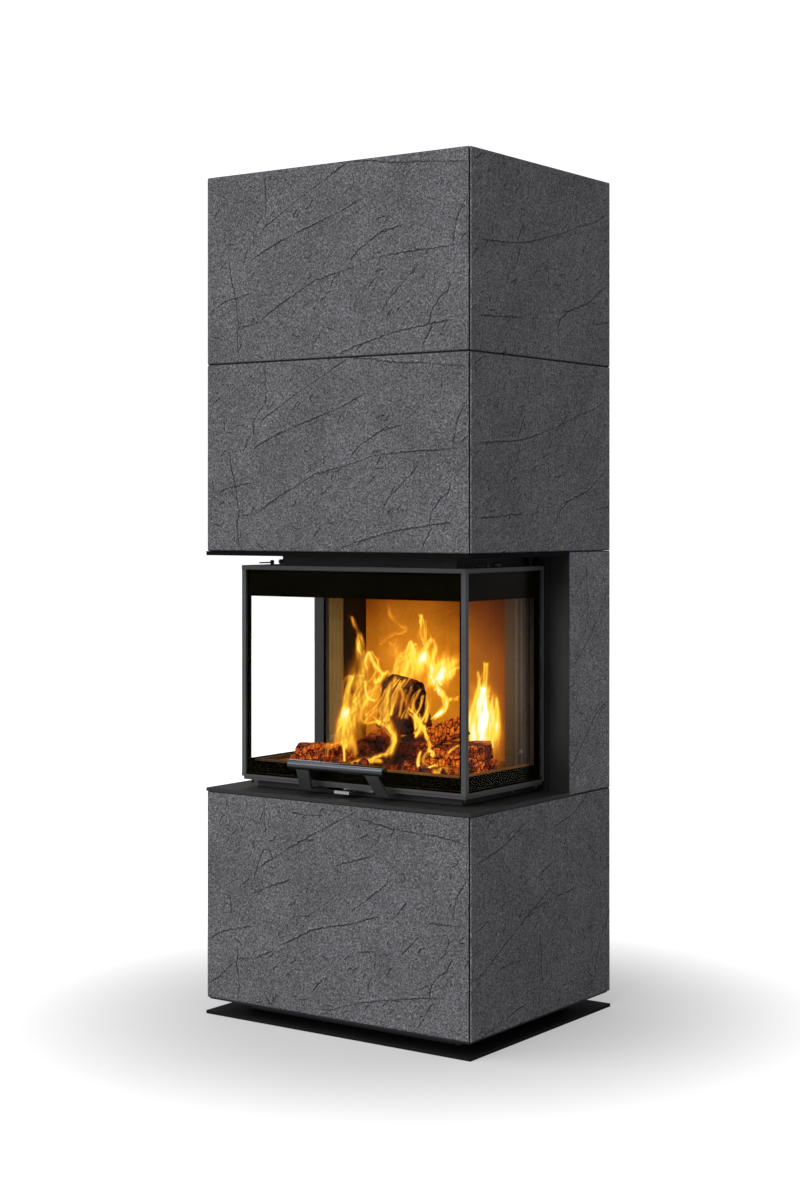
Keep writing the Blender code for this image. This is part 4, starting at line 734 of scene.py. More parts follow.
def lining_material(name, colour, look, glow=1.0, middle=-0.06, tint=(1.0, 1.0, 1.0), lines=0.0):
    """Pressed mineral board or heat-tinted steel: flecks and pits, soot streaks, and fire light of a given tint.
    Lines paint the shade and light of a folded profile into it, in upright bands."""
    m = Finish(name, Specular_IOR_Level=0.1, Emission_Strength=look.glow * glow)
    where = m.position()
    fleck = m.add("ShaderNodeTexVoronoi", {"Vector": where, "Scale": 260.0}).outputs["Color"]
    tone = m.add("ShaderNodeSeparateColor", {0: fleck}).outputs[0]
    pit = m.noise(where, 420.0, 3.0, 0.7)
    streak = m.noise(m.stretch(where, 34.0, 34.0, 3.5), 1.0, 4.0, 0.6)
    speckle = m.plus(m.span(tone, 0.0, 1.0, 0.92, 1.08), m.vary(pit, -0.07, 0.05))
    speckle = m.times(speckle, m.span(streak, 0.3, 0.72, 0.88, 1.06))
    # Painted shade and light: upright bands stand in for the folds of a profile.
    if lines:
        band = m.noise(m.stretch(where, 150.0, 150.0, 0.0), 1.0, 1.0)
        speckle = m.times(speckle, m.span(band, 0.38, 0.62, 1.0 - lines, 1.0 + 0.4 * lines))
    fire = m.use(glow_group(), Vector=where, Middle=middle)
    lit = m.blend(1.0, fire["Colour"], tint, "MULTIPLY")
    return m.put(
        Base_Color=m.shade(colour, speckle),
        Emission_Color=m.shade(lit, m.times(fire["Light"], speckle)),
        Roughness=m.vary(pit, 0.95, 0.8),
        Normal=m.bump(m.plus(pit, m.times(tone, 0.4)), 0.0006),
    )


def char_material(name, look, lit, dark):
    """Burning wood: checks that run along and across the grain, and fire light painted as a glow on the skin between
    them.
    The edge mark is 0 in the middle of a cut end and 1 on the skin, and the middle stays charred."""
    m = Finish(name, Specular_IOR_Level=0.15, Emission_Strength=1.0)
    grain = m.mark("log_grain", "Vector")
    wander = {0: m.noise(grain, 40.0, output="Color"), 1: (0.012, 0.012, 0.012), 2: grain}
    bent = m.add("ShaderNodeVectorMath", wander, operation="MULTIPLY_ADD").outputs[0]
    coarse, fine = m.cracks(m.stretch(bent, 120.0, 56.0, 56.0), 0.75), m.cracks(m.stretch(bent, 210.0, 330.0, 330.0))
    check = m.times(m.span(coarse, 0.01, 0.13), m.span(fine, -0.12, 0.14))
    patch = m.span(m.noise(m.stretch(grain, 16.0, 34.0, 34.0), 1.0, 3.0, 0.6), 0.40, 0.62)
    hot = m.vein(m.noise(m.stretch(bent, 30.0, 210.0, 210.0), 1.0, 3.0, 0.6), 0.5, 0.035, 0.0)
    skin = m.span(m.mark("cut_edge"), 0.62, 0.97, 0.24, 1.0)
    # The emission is painted fire light, in patches and thin veins, at the share lit.
    level = m.times(check, m.span(patch, 0.0, 1.0, dark, 1.0), skin)
    level = m.plus(m.times(level, lit), m.times(hot, skin, 0.55 * lit))
    # Painted shade: the fire light fades out around the spot between the logs.
    level = m.times(level, m.span(m.distance(m.position(), PAINTED_SHADE_SPOT), 0.036, 0.085, 0.10, 1.0))
    ash = m.noise(grain, 90.0, 4.0, 0.7)
    colour = m.blend(m.span(level, 0.04, 0.60), (0.50, 0.020, 0.001), (0.80, 0.120, 0.004))
    colour = m.blend(m.span(level, 0.62, 1.3), colour, (1.0, 0.34, 0.024))
    return m.put(
        Base_Color=m.shade(m.blend(m.span(ash, 0.5, 0.8), look.char, (0.055, 0.030, 0.016)), check),
        Emission_Color=m.shade(colour, level),
        Roughness=m.vary(ash, 0.95, 0.8),
        Normal=m.bump(m.plus(check, m.times(ash, 0.5)), 0.0022),
    )


def ember_material(look):
    """Embers: glowing patches and veins in dark char, but none at the spot of painted shade."""
    m = Finish("embers", Specular_IOR_Level=0.1, Emission_Strength=1.0)
    where = m.position()
    heat, fine = m.noise(where, 62.0, 3.0, 0.6, 0.8), m.noise(where, 300.0, 3.0, 0.6)
    vein = m.vein(m.noise(where, 85.0, 3.0, 0.6, 1.5), 0.5, 0.05, 0.0)
    lit = m.times(m.span(heat, 0.42, 0.66), m.span(fine, 0.35, 0.65, 0.35, 1.0))
    lit = m.plus(m.times(lit, 0.55), m.times(vein, m.span(heat, 0.36, 0.60, 0.05, 0.75)))
    # Painted shade: the glow fades out around the spot between the logs.
    lit = m.times(lit, m.span(m.distance(where, PAINTED_SHADE_SPOT), 0.036, 0.090, 0.04, 0.78))
    return m.put(
        Base_Color=m.blend(m.span(fine, 0.4, 0.7), (0.012, 0.007, 0.005), (0.050, 0.030, 0.022)),
        Emission_Color=m.shade(m.blend(m.span(lit, 0.25, 1.0), look.ember, (1.0, 0.22, 0.016)), lit),
        Roughness=m.vary(fine, 0.95, 0.8),
        Normal=m.bump(fine, 0.0012),
    )


def flame_material(look):
    """Burning gas: the heat mark on its points makes it clear, then orange, yellow, pale and white."""
    plain = {"Base_Color": (0, 0, 0, 1), "Specular_IOR_Level": 0.0, "Roughness": 1.0}
    m = Finish("flame", Emission_Strength=look.strength, **plain)
    heat = m.mark("fire_heat")
    colour = m.blend(m.span(heat, 0.10, 0.45), (0.78, 0.19, 0.006), look.flame)
    for low, high, hotter in (
        (0.38, 0.74, (1.0, 0.72, 0.060)), (0.74, 1.08, (1.0, 0.94, 0.56)), (1.02, 1.28, (1.0, 0.98, 0.88))
    ):
        colour = m.blend(m.span(heat, low, high), colour, hotter)
    return m.put(Alpha=m.span(heat, 0.02, 0.72, 0.0, 0.97), Emission_Color=colour)


# ---------------------------------------------------------------- stone


def window(start, end, margin, across, up):
    """The rows and columns of a grid that lie around a segment."""
    low, high = np.minimum(start, end) - margin, np.maximum(start, end) + margin
    columns = slice(*np.searchsorted(across, (low[0], high[0])))
    return slice(*np.searchsorted(up, (low[1], high[1]))), columns


def beside(x, y, step):
    """Where points lie along a segment, 0 to 1, and how far from it they are."""
    share = np.clip((x * step[0] + y * step[1]) / max(step @ step, 1e-9), 0, 1)
    return share, np.hypot(x - share * step[0], y - share * step[1])


def carve(groove, lip, across, up, points, half, strengths):
    """Deepens a groove field along a row of short segments, and raises a lip field beside them: across each segment
    the depth falls off as a bell curve of the distance, and the lip is such a bell further out on one side."""
    lip_place = 1.9
    for start, end, strength in zip(points[:-1], points[1:], strengths):
        part = window(start, end, 4 * half, across, up)
        x, y = across[part[1]][None, :] - start[0], up[part[0]][:, None] - start[1]
        step = end - start
        off = beside(x, y, step)[1] / half
        above = x * step[1] - y * step[0] < 0
        groove[part] = np.maximum(groove[part], strength * np.exp(-(off**2)))
        lip[part] = np.maximum(lip[part], strength * above * np.exp(-((off - lip_place) ** 2)))


def crease_fields(width, height, lines, look, seed):
    """Depth below the face and a crease mark, 1 in a crease and below 0 on its lip, on a grid over a slab's face.
    The long creases come from their table, and small seeded marks that lean to the upper right fill the rest."""
    random = np.random.default_rng(seed)
    columns, rows = round(width / look.cell) + 1, round(height / look.cell) + 1
    across, up = np.linspace(0, width, columns), np.linspace(0, height, rows)
    groove, lip = np.zeros((rows, columns)), np.zeros((rows, columns))
    segment, half, small_half, marks_per_area = 0.004, 0.0015, 0.0014, 4200
    level, lip_height, lip_mark = 0.35, 0.35, 0.42
    for line in lines:
        bends = np.reshape(line, (-1, 2)) / 1000 * (width, height)
        run = np.concatenate(([0], np.cumsum(np.hypot(*np.diff(bends, axis=0).T))))
        at = np.linspace(0, run[-1], max(int(run[-1] / segment), 3))
        points = np.stack([np.interp(at, run, bends[:, axis]) for axis in (0, 1)], axis=1)
        points += random.normal(0, 0.0007, points.shape)
        strengths = np.interp(at, np.linspace(0, run[-1], 9), random.uniform(0.58, 1.0, 9))
        strengths = strengths * np.interp(at / run[-1], (0, 0.06, 0.94, 1), (0.4, 1, 1, 0.3))
        carve(groove, lip, across, up, points, half, strengths)
    for _ in range(int(width * height * marks_per_area)):
        lean = math.radians(random.normal(48, 26))
        length, bow = random.uniform(0.005, 0.020), random.normal(0, 0.5)
        share = np.linspace(-0.5, 0.5, 4)
        turn = lean + bow * share
        points = np.stack((np.cos(turn), np.sin(turn)), 1) * (share * length)[:, None]
        points += random.uniform(0, 1, 2) * (width, height)
        strength = random.choice((0.20, 0.32, 0.48, 0.80), p=(0.35, 0.35, 0.22, 0.08))
        carve(groove, lip, across, up, points, small_half, np.full(3, strength))
    # The mark paints shade into the creases and a highlight on their lips.
    return look.depth * (level + groove - lip_height * lip), groove - lip_mark * lip * (1 - groove)


def slab(name, corner, along, up, size, thick, depth, mark, mitres, chamfer, dark=(0.0, 0.0, 0.0)):
    """A closed slab: a face of points lowered by depth, a chamfer around it, walls, and a back.
    At a mitred end the wall leans in as deep as it goes. Dark paints shade on the chamfer, and a highlight where
    it is below 0: below and above, left, right."""
    along, up, corner = (np.asarray(v, float) for v in (along, up, corner))
    width, height = size
    out = np.cross(along, up)
    rows, columns = depth.shape
    v, u = (share.ravel() for share in np.meshgrid(np.linspace(0, 1, rows), np.linspace(0, 1, columns), indexing="ij"))
    edge = grid_rim(rows, columns)
    sets = [(u, v, depth.ravel(), chamfer, chamfer, chamfer)]
    for deep in (chamfer, 1.3 * chamfer, thick):
        sets.append((u[edge], v[edge], deep, deep * mitres[0], deep * mitres[1], 0.0))
    points = [
        corner + (left + u * (width - left - right))[:, None] * along + (low + v * (height - 2 * low))[:, None] * up
        - np.broadcast_to(deep, u.shape)[:, None] * out
        for u, v, deep, left, right, low in sets
    ]
    ring, behind, back = (np.arange(len(edge)) + rows * columns + step * len(edge) for step in range(3))
    points.append(points[-1].mean(0, keepdims=True))
    fan = np.stack((np.roll(back, -1), back, np.full(len(back), back[-1] + 1)), axis=1)
    walls = np.concatenate((band_faces(ring, behind), band_faces(behind, back)))
    faces = (grid_faces(rows, columns), band_faces(edge, ring), walls, fan)
    u, v = u[edge], v[edge]
    # Painted shade on the chamfers marked above 0, and a painted highlight on those marked below 0.
    shade = np.select((v == 0, v == 1, u == 0), (dark[0], dark[0], dark[1]), dark[2])
    marks = np.concatenate((mark.ravel(), shade, np.zeros(2 * len(edge) + 1)))
    return make_mesh(name, np.concatenate(points), faces, (True, False, False, False), {"stone_crease_and_painted_shade": marks})


class FIREPLACE_OT_stone(bpy.types.Operator):
    """Carve the stone cladding, slab by slab"""

    bl_idname = "fireplace.stone"
    bl_label = "Stone cladding"

    def execute(self, context):
        look = context.scene.fireplace.stone
        # The rear slabs get a copy of the stone that is 1.35 times lighter: painted light.
        material, pale = stone_material("natural_stone", look), stone_material("natural_stone_painted_light", look, 1.35)
        for node, (lines, seed) in STONES.items():
            low, high = corners(node)
            size = high - low
            # A side slab's front end is mitred against the front slab, and a rear one's isn't.
            front_end = 0 if "rear" in node else 1
            if "front" in node:
                corner, along, width, mitres = low, (1, 0, 0), size[0], (1, 1)
            elif "right" in node:
                corner, along, width, mitres = (high[0], low[1], low[2]), (0, 1, 0), size[1], (front_end, 0)
            else:
                corner, along, width, mitres = (low[0], high[1], low[2]), (0, -1, 0), size[1], (0, front_end)
            # Front slabs get painted shade in all chamfers; side slabs in their lower and upper ones, and a painted
            # highlight on their upright ones.
            dark = (1.0, 1.0, 1.0) if "front" in node else (1.0, -1.4, -1.4)
            face = (width, size[2])
            fields = crease_fields(*face, lines, look, seed)
            mesh = slab(
                f"{node}_face", corner, along, (0, 0, 1), face, look.thick, *fields, mitres, look.chamfer, dark
            )
            place(f"{node}_slab", mesh, pale if "rear" in node else material, "stone", replaces=[node])
        return {"FINISHED"}


# ---------------------------------------------------------------- metal, linings and glass


class FIREPLACE_OT_finishes(bpy.types.Operator):
    """Give every CAD node its metal, lining or glass"""

    bl_idname = "fireplace.finishes"
    bl_label = "Metal and lining finishes"

    def execute(self, context):
        looks = context.scene.fireplace
        metal, hearth = looks.metal, looks.hearth
        steel = tuple(c * s for c, s in zip(hearth.column, (1.35, 1.75, 2.3)))
        cool = (0.55, 0.95, 3.6)
        by_slot = {
            "stone": coat_material("stone_core", looks.stone.colour, 0.7),
            "black_steel": coat_material("plate_powder_coat", metal.plate, 0.58, shine=0.34),
            "profile_steel": coat_material("profile_powder_coat", metal.profile, 0.42),
            "heat_steel": lining_material("column_steel", steel, hearth, 0.10, 0.0, (0.5, 0.9, 4.0), 0.4),
            "zinc_steel": brushed_material("zinc_plate", metal.zinc, "Z", 0.38),
            "handle_steel": brushed_material("polished_steel", metal.steel, "X", 0.18, 0.5),
            "weight_iron": cast_material("weight_casting", metal.iron),
            "lining": lining_material("lining_board", hearth.lining, hearth),
            "glass": glass_material(looks.glass),
            "wood": char_material("burning_wood", looks.fire, 0.82, 0.08),
        }
        bracket = coat_material("bracket_satin", metal.bracket, 0.36)
        edge_tint = (0.55, 0.85, 4.6)
        special = {
            "carriage_left": lining_material("carriage_lit", hearth.column, hearth, 0.13, -0.20, cool, 0.3),
            "carriage_right": coat_material("carriage_paint", (0.150, 0.146, 0.144), 0.6),
            "handle_bracket_left": bracket,
            "handle_bracket_right": bracket,
            # Painted light: the housing's paint is made lighter to make up for the shade under the upper plate.
            "smoke_dome": coat_material("housing_heat_paint", metal.housing, 0.70, 0.0002, 0.2),
            "upper_plate": coat_material("upper_plate_coat", (0.004, 0.004, 0.003), 0.7, shine=0.04),
            "base_plate": coat_material("base_plate_coat", (0.008, 0.0077, 0.0074), 0.66, shine=0.10),
            "air_slide": brushed_material("lever_steel", (0.5, 0.5, 0.5), "X", 0.22),
            "side_lining_left": lining_material("shaded_board", (0.004, 0.002, 0.001), hearth, 0.012, -0.10),
            "side_lining_right": lining_material(
                "edge_board", (0.080, 0.062, 0.046), hearth, 0.115, 0.10, edge_tint
            ),
            "column_left": lining_material("column_lit", hearth.column, hearth, 0.33, -0.20, cool, 0.12),
            "hearth_rim": lining_material("rim_steel", hearth.rim, hearth, 0.16, 0.16, (0.9, 1.0, 2.4)),
            "hearth_floor": lining_material("hearth_board", (0.05, 0.025, 0.01), hearth, 0.30),
            # The top log is a copy that takes less of the painted fire light.
            "log_top": char_material("peak_wood", looks.fire, 0.34, 0.02),
        }
        for name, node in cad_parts.items():
            slot = node.data.materials[0].name.split(".")[0] if node.data.materials else ""
            if slot not in by_slot:
                raise ValueError(f"{name} has the slot {slot!r}, which has no finish")
            node.material_slots[0].material = special.get(name, by_slot[slot])
        return {"FINISHED"}


class FIREPLACE_OT_strips(bpy.types.Operator):
    """Cover the rear stones' front ends and the columns' outer edges with steel strips"""

    bl_idname = "fireplace.strips"
    bl_label = "Cover strips"

    def execute(self, context):
        metal = context.scene.fireplace.metal
        # A strip's inner and outer edge, its faces before the stone's end, and what it leaves free below and above.
        inner, outer, front, back, below, above = 0.2568, 0.3000, 0.0019, 0.0004, 0.0070, 0.0082
        # A flange's inner and outer edge, its faces before the column's rear, and its foot.
        flange_inner, flange_outer, flange_front, flange_back, foot = 0.2322, 0.2392, 0.0080, 0.0065, 0.4816
        ends, flanges = [], []
        for side, hand in SIDES:
            low, high = corners(f"rear_{hand}_stone")
            corner = (side * inner, low[1] - front, low[2] + below)
            ends.append(sheet_box(corner, (side * outer, low[1] - back, high[2] - above)))
            high = corners(f"column_{hand}")[1]
            corner = (side * flange_inner, high[1] - flange_front, foot)
            flanges.append(sheet_box(corner, (side * flange_outer, high[1] - flange_back, high[2])))
        coat = coat_material("strip_powder_coat", tuple(1.15 * c for c in metal.plate), 0.5)
        place_joined("stone_end_strips", ends, False, coat, "black_steel")
        place_joined("column_flanges", flanges, False, finish_of("column_right"), "heat_steel")
        return {"FINISHED"}


class FIREPLACE_OT_glass_borders(bpy.types.Operator):
    """Print the black enamel borders on the inner faces of the panes, and lay the door's seals"""

    bl_idname = "fireplace.glass_borders"
    bl_label = "Glass borders"

    def execute(self, context):
        look = context.scene.fireplace.glass
        gap, thin, overlap, inset, seal = 0.0002, 0.0003, 0.002, 0.010, 0.0036
        low, high = corners("front_glass")
        near, far = high[1] + gap, high[1] + gap + thin
        under, over = low[2] + look.low, high[2] - look.top
        parts = [
            sheet_box((low[0], near, over), (high[0], far, high[2])),
            sheet_box((low[0], near, low[2]), (high[0], far, under)),
            sheet_box((low[0], near, under), (low[0] + look.edge, far, over)),
            sheet_box((high[0] - look.edge, near, under), (high[0], far, over)),
        ]
        for side, hand in SIDES:
            low, high = corners(f"{hand}_glass")
            near = low[0] - gap if side > 0 else high[0] + gap
            far = near - side * thin
            # The left pane is seen from inside, where its corner border shows wider and its rear one narrower.
            edge, rear = (look.edge, look.side) if side > 0 else (2.1 * look.edge, look.side / 3)
            under, over = low[2] + look.low + overlap, high[2] - look.top
            parts.append(sheet_box((near, low[1], over), (far, high[1], high[2])))
            parts.append(sheet_box((near, low[1], low[2]), (far, high[1], under)))
            parts.append(sheet_box((near, low[1], under), (far, low[1] + edge, over)))
            parts.append(sheet_box((near, high[1] - rear, under), (far, high[1], over)))
        foot, top = low[2] - seal, low[2]
        low, high = corners("door_frame")
        face = low[1] - gap
        parts.append(sheet_box((low[0] + inset, face - thin, foot), (high[0] - inset, face, top)))
        for side, face in ((-1, low[0] - gap), (1, high[0] + gap)):
            parts.append(sheet_box((face, low[1] + inset, foot), (face + side * thin, high[1] - inset, top)))
        place_joined("glass_borders", parts, False, enamel_material(), "glass", body="door")
        return {"FINISHED"}


# ---------------------------------------------------------------- fire


def log_mesh(name, half, tall, length, across, depth, low, turn, split, lift=0.0, seed=0):
    """A split log: split faces with their edges on a half round, over a flat, carried along its axis. Its skin sinks
    by random waves that are stretched along the grain, and its ends are worn round and cut a little uneven."""
    rows, columns, worn = 96, 96, 8
    flat, rim = 0.28, 0.30
    dip = math.asin(flat)
    corner = np.concatenate(([-dip], np.radians(split), [math.pi + dip, 2 * math.pi - dip]))
    outline = np.stack((np.cos(corner), np.sin(corner) + flat), 1)
    run = np.concatenate(([0], np.cumsum(np.hypot(*np.diff(outline, axis=0).T))))
    around = np.linspace(0, 1, columns, endpoint=False)
    sect_x, sect_y = (np.interp(around * run[-1], run, outline[:, axis]) for axis in (0, 1))
    for _ in range(3):
        sect_x, sect_y = ((np.roll(s, 1) + 2 * s + np.roll(s, -1)) / 4 for s in (sect_x, sect_y))
    end = np.concatenate((np.linspace(rim, 1, worn), np.ones(rows - 2 * worn), np.linspace(1, rim, worn)))
    cap = worn - 1
    reach = np.concatenate((np.full(cap, -1.0), np.linspace(-1, 1, rows - 2 * cap), np.full(cap, 1.0)))[:, None]
    middle = 0.60 * tall
    local = np.zeros((rows, columns, 3))
    local[..., 0] = reach * length / 2
    local[..., 1] = sect_x * half * end[:, None]
    local[..., 2] = (middle + (sect_y * tall - middle) * end[:, None]) * half
    skin = waves(local * (0.35, 1, 1), seed, 0.045, 4)
    checks = waves(local * (0.15, 1, 1), seed + 1, 0.016, 2) > 0.55
    sink = 0.955 - 0.035 * np.clip(skin, -1, 1) ** 2 - 0.03 * checks
    local[..., 1] *= sink
    local[..., 2] = 0.0006 + local[..., 2] * (sink - 0.01)
    rough = np.clip(waves(local, seed + 2, 0.02, 3), -1, 1) * (end[:, None] < 1)
    local[..., 0] *= 0.985 - 0.012 * rough - 0.02 * (end[:, None] >= 0.99) * (np.abs(reach) >= 1)
    rise, flat_run = math.sin(math.radians(lift)), math.cos(math.radians(lift))
    x, y, z = np.moveaxis(local, -1, 0)
    local = np.stack((x * flat_run - z * rise, y, x * rise + z * flat_run), -1)
    x, y, z = np.moveaxis(local, -1, 0)
    c, s = math.cos(math.radians(turn)), math.sin(math.radians(turn))
    points, *faces = closed_tube(np.stack((across + x * c - y * s, depth + x * s + y * c, low + z), axis=-1))
    grain = np.concatenate((local.reshape(-1, 3), local[:1].mean(1), local[-1:].mean(1))) + seed
    edge = np.concatenate((np.repeat(end, columns), [0.0, 0.0]))
    return make_mesh(name, points, faces, (True, True), {"log_grain": grain, "cut_edge": edge})


class FIREPLACE_OT_logs(bpy.types.Operator):
    """Shape the charred split logs"""

    bl_idname = "fireplace.logs"
    bl_label = "Firewood"

    def execute(self, context):
        for seed, (node, values) in enumerate(LOGS.items()):
            mesh = log_mesh(node, *values, seed=seed + 3)
            place(f"{node}_charred", mesh, finish_of(node), "wood", replaces=[node])
        for seed, (name, values) in enumerate(PIECES.items()):
            place(name, log_mesh(name, *values, seed=seed + 11), finish_of("log_right"), "wood")
        return {"FINISHED"}


class FIREPLACE_OT_embers(bpy.types.Operator):
    """Lay the ember bed and its charcoal on the hearth"""

    bl_idname = "fireplace.embers"
    bl_label = "Ember bed"

    def execute(self, context):
        """The bed is a slab whose top sinks by random waves; a charcoal lump is a ball grid whose radius wavers."""
        look = context.scene.fireplace.fire
        material = ember_material(look)
        top = corners("hearth_floor")[1][2]
        width, deep, thick, front, gap = 0.330, 0.190, 0.010, -0.135, 0.0004
        rows, columns = 100, 170
        v, u = np.meshgrid(np.linspace(0, 1, rows), np.linspace(0, 1, columns), indexing="ij")
        spots = np.stack((u * width, v * deep, np.zeros_like(u)), -1)
        rise = np.clip(1.15 - 1.9 * np.hypot((u - 0.5) * 1.05, (v - 0.5)) ** 1.5, 0.05, 1)
        sunk = thick * (1 - rise * (0.62 + 0.38 * np.clip(waves(spots, 5, 0.03, 4), -1, 1)))
        corner = (-width / 2, front, top + gap + thick)
        fields = (np.clip(sunk, 0, thick * 0.95), np.zeros_like(sunk))
        mesh = slab("ember_bed", corner, (1, 0, 0), (0, 1, 0), (width, deep), thick, *fields, (0, 0), 0.0005)
        place("ember_bed", mesh, material, "wood")
        random = np.random.default_rng(21)
        count, rings, around = look.lumps, 7, 10
        angle = np.linspace(0, 2 * np.pi, around, endpoint=False)
        tilt = np.linspace(0.12, np.pi - 0.12, rings)[:, None]
        ball = (np.sin(tilt) * np.cos(angle), np.sin(tilt) * np.sin(angle), -np.cos(tilt) * np.ones(around))
        size = random.uniform(0.004, 0.012, (count, 1, 1, 1)) * random.uniform(0.55, 1.45, (count, 1, 1, 3))
        wander = 1 + random.uniform(-0.22, 0.22, (count, rings, around, 1))
        across = random.normal(0.03, 0.11, count).clip(-0.17, 0.20)
        depth = random.normal(-0.085, 0.05, count).clip(-0.155, 0.03)
        lumps = np.stack(ball, -1) * size * wander
        lumps[..., 2] = np.maximum(lumps[..., 2] + size[..., 2] * 0.6, 0.0) + 0.003
        lumps += np.stack((across, depth, np.full(count, top)), -1)[:, None, None, :]
        place_joined("charcoal", [closed_tube(lump) for lump in lumps], False, material, "wood")
        return {"FINISHED"}


def stroke_lines(strokes, random):
    """Each stroke as (heat, softness, points), and beside it four thin ones that wander off."""
    lines = []
    for heat, *numbers in strokes:
        line = np.reshape(numbers, (-1, 3)) / 1000
        lines.append((heat, 1.15, line))
        for _ in range(4):
            drift = random.normal(0, 1, (len(line), 2)) * (0.0012 + 0.55 * line[:, 2:].mean())
            drift += random.normal(0, 0.0016, 2)
            thin = line * (1, 1, random.uniform(0.30, 0.72))
            thin[:, :2] += drift
            lines.append((heat * random.uniform(0.55, 1.0), 1.0, thin))
    return lines


def heat_field(along, up, strokes, seed):
    """Heat on a grid of points. Each stroke is rounded by cutting its corners twice. Its heat falls off as a bell
    curve of the distance over its half width, with two wider and weaker ones around it. Waves bend the grid so that
    no edge is even."""
    bend, least_half, reach, halo_share, aura_share, flicker, fade = 0.0022, 0.0010, 7.0, 0.34, 0.10, 0.26, 6
    x, z = np.meshgrid(along, up)
    spots = np.stack((x, z * 0.35, np.zeros_like(x)), -1)
    x = x + bend * waves(spots, seed, 0.035, 3)
    z = z + bend * waves(spots, seed + 1, 0.030, 3)
    fields = np.zeros((3, *x.shape))
    random = np.random.default_rng(seed)
    for heat, soft, line in stroke_lines(strokes, random):
        for _ in range(2):
            cuts = (0.75 * line[:-1] + 0.25 * line[1:], 0.25 * line[:-1] + 0.75 * line[1:])
            line = np.concatenate((line[:1], np.stack(cuts, 1).reshape(-1, 3), line[-1:]))
        line[:, 2] = np.maximum(line[:, 2] * soft, least_half)
        levels = heat * np.interp(np.linspace(0, 4, len(line)), np.arange(5), random.uniform(0.6, 1.0, 5))
        for start, end, level in zip(line[:-1], line[1:], levels):
            part = window(start[:2], end[:2], reach * max(start[2], end[2]), along, up)
            share, off = beside(x[part] - start[0], z[part] - start[1], end[:2] - start[:2])
            off /= start[2] + share * (end[2] - start[2])
            for field, spread in zip(fields, (1, 2.2, 4.4)):
                field[part] = np.maximum(field[part], level * np.exp(-((off / spread) ** 2)))
    core, halo, aura = fields
    fibre = waves(spots * (1, 0.5, 1) + (0, 7, 0), seed + 2, 0.011, 4)
    edge = np.minimum(1, fade * np.minimum(np.linspace(0, 1, len(along)), np.linspace(1, 0, len(along))))
    glow = (halo_share * halo + aura_share * aura) * (1 - np.clip(core, 0, 1))
    return (core + glow) * (1 + flicker * fibre) * edge


class FIREPLACE_OT_flames(bpy.types.Operator):
    """Raise the flames over the logs"""

    bl_idname = "fireplace.flames"
    bl_label = "Flames"

    def execute(self, context):
        look = context.scene.fireplace.fire
        material = flame_material(look)
        margin, floor, lean_from, hottest = 0.018, 0.4765, 0.48, 1.3
        for seed, (name, (foot, turn, lean, strokes)) in enumerate(VEILS.items()):
            marks = np.concatenate([np.reshape(stroke[1:], (-1, 3)) for stroke in strokes]) / 1000
            low, high = marks[:, :2].min(0) - margin, marks[:, :2].max(0) + margin
            low[1] = max(low[1], floor)
            counts = np.ceil((high - low) / look.sheet).astype(int)
            along, up = np.linspace(low[0], high[0], counts[0]), np.linspace(low[1], high[1], counts[1])
            heat = heat_field(along, up, strokes, 31 + 5 * seed)
            c, s = math.cos(math.radians(turn)), math.sin(math.radians(turn))
            u, v = np.meshgrid(along, up)
            back = lean * (v - lean_from)
            points = np.stack((foot[0] + u * c - back * s, foot[1] + u * s + back * c, v), -1)
            marks = {"fire_heat": np.clip(heat, 0, hottest).ravel()}
            mesh = make_mesh(f"flames_{name}", points, (grid_faces(len(up), len(along)),), (True,), marks)
            place(f"flames_{name}", mesh, material, "wood").visible_shadow = False
        return {"FINISHED"}


# ---------------------------------------------------------------- fittings


class FIREPLACE_OT_handle(bpy.types.Operator):
    """Turn the handle bar with rounded ends"""

    bl_idname = "fireplace.handle"
    bl_label = "Handle bar"

    def execute(self, context):
        look = context.scene.fireplace.fitting
        low, high = corners("handle_bar")
        radius, length, middle, soft = (high[2] - low[2]) / 2, high[0] - low[0], (low + high) / 2, 0.0016
        bend = np.linspace(0, np.pi / 2, 6)
        start = np.stack((radius - soft + soft * np.sin(bend), soft - soft * np.cos(bend)), 1)
        hub = radius * 0.3
        profile = np.concatenate(([[hub, 0.0]], start, (start * (1, -1) + (0, length))[::-1], [[hub, length]]))
        bar = turned(profile, (low[0], middle[1], middle[2]), (1, 0, 0), look.segments)
        steel = finish_of("handle_bar")
        place_joined("handle_bar_turned", [bar], True, steel, "handle_steel", body="door", replaces=["handle_bar"])
        return {"FINISHED"}


def screw(middle, direction, radius, share=0.75):
    """A round-headed screw with a driven recess, turned around its axis. Share is its height over its radius."""
    shape = ((0.98, 0.0), (1, 0.35), (0.80, 0.85), (0.50, 1), (0.42, 0.96), (0.38, 0.45))
    profile = [(radius * wide, radius * share * high) for wide, high in shape]
    return turned(profile, middle, direction, 16)


def pin(middle, direction, radius, length):
    """A plain pin with rounded ends."""
    soft = min(radius, length) * 0.3
    profile = ((radius - soft, 0.0), (radius, soft), (radius, length - soft), (radius - soft, length))
    return turned(profile, middle, direction, 14)


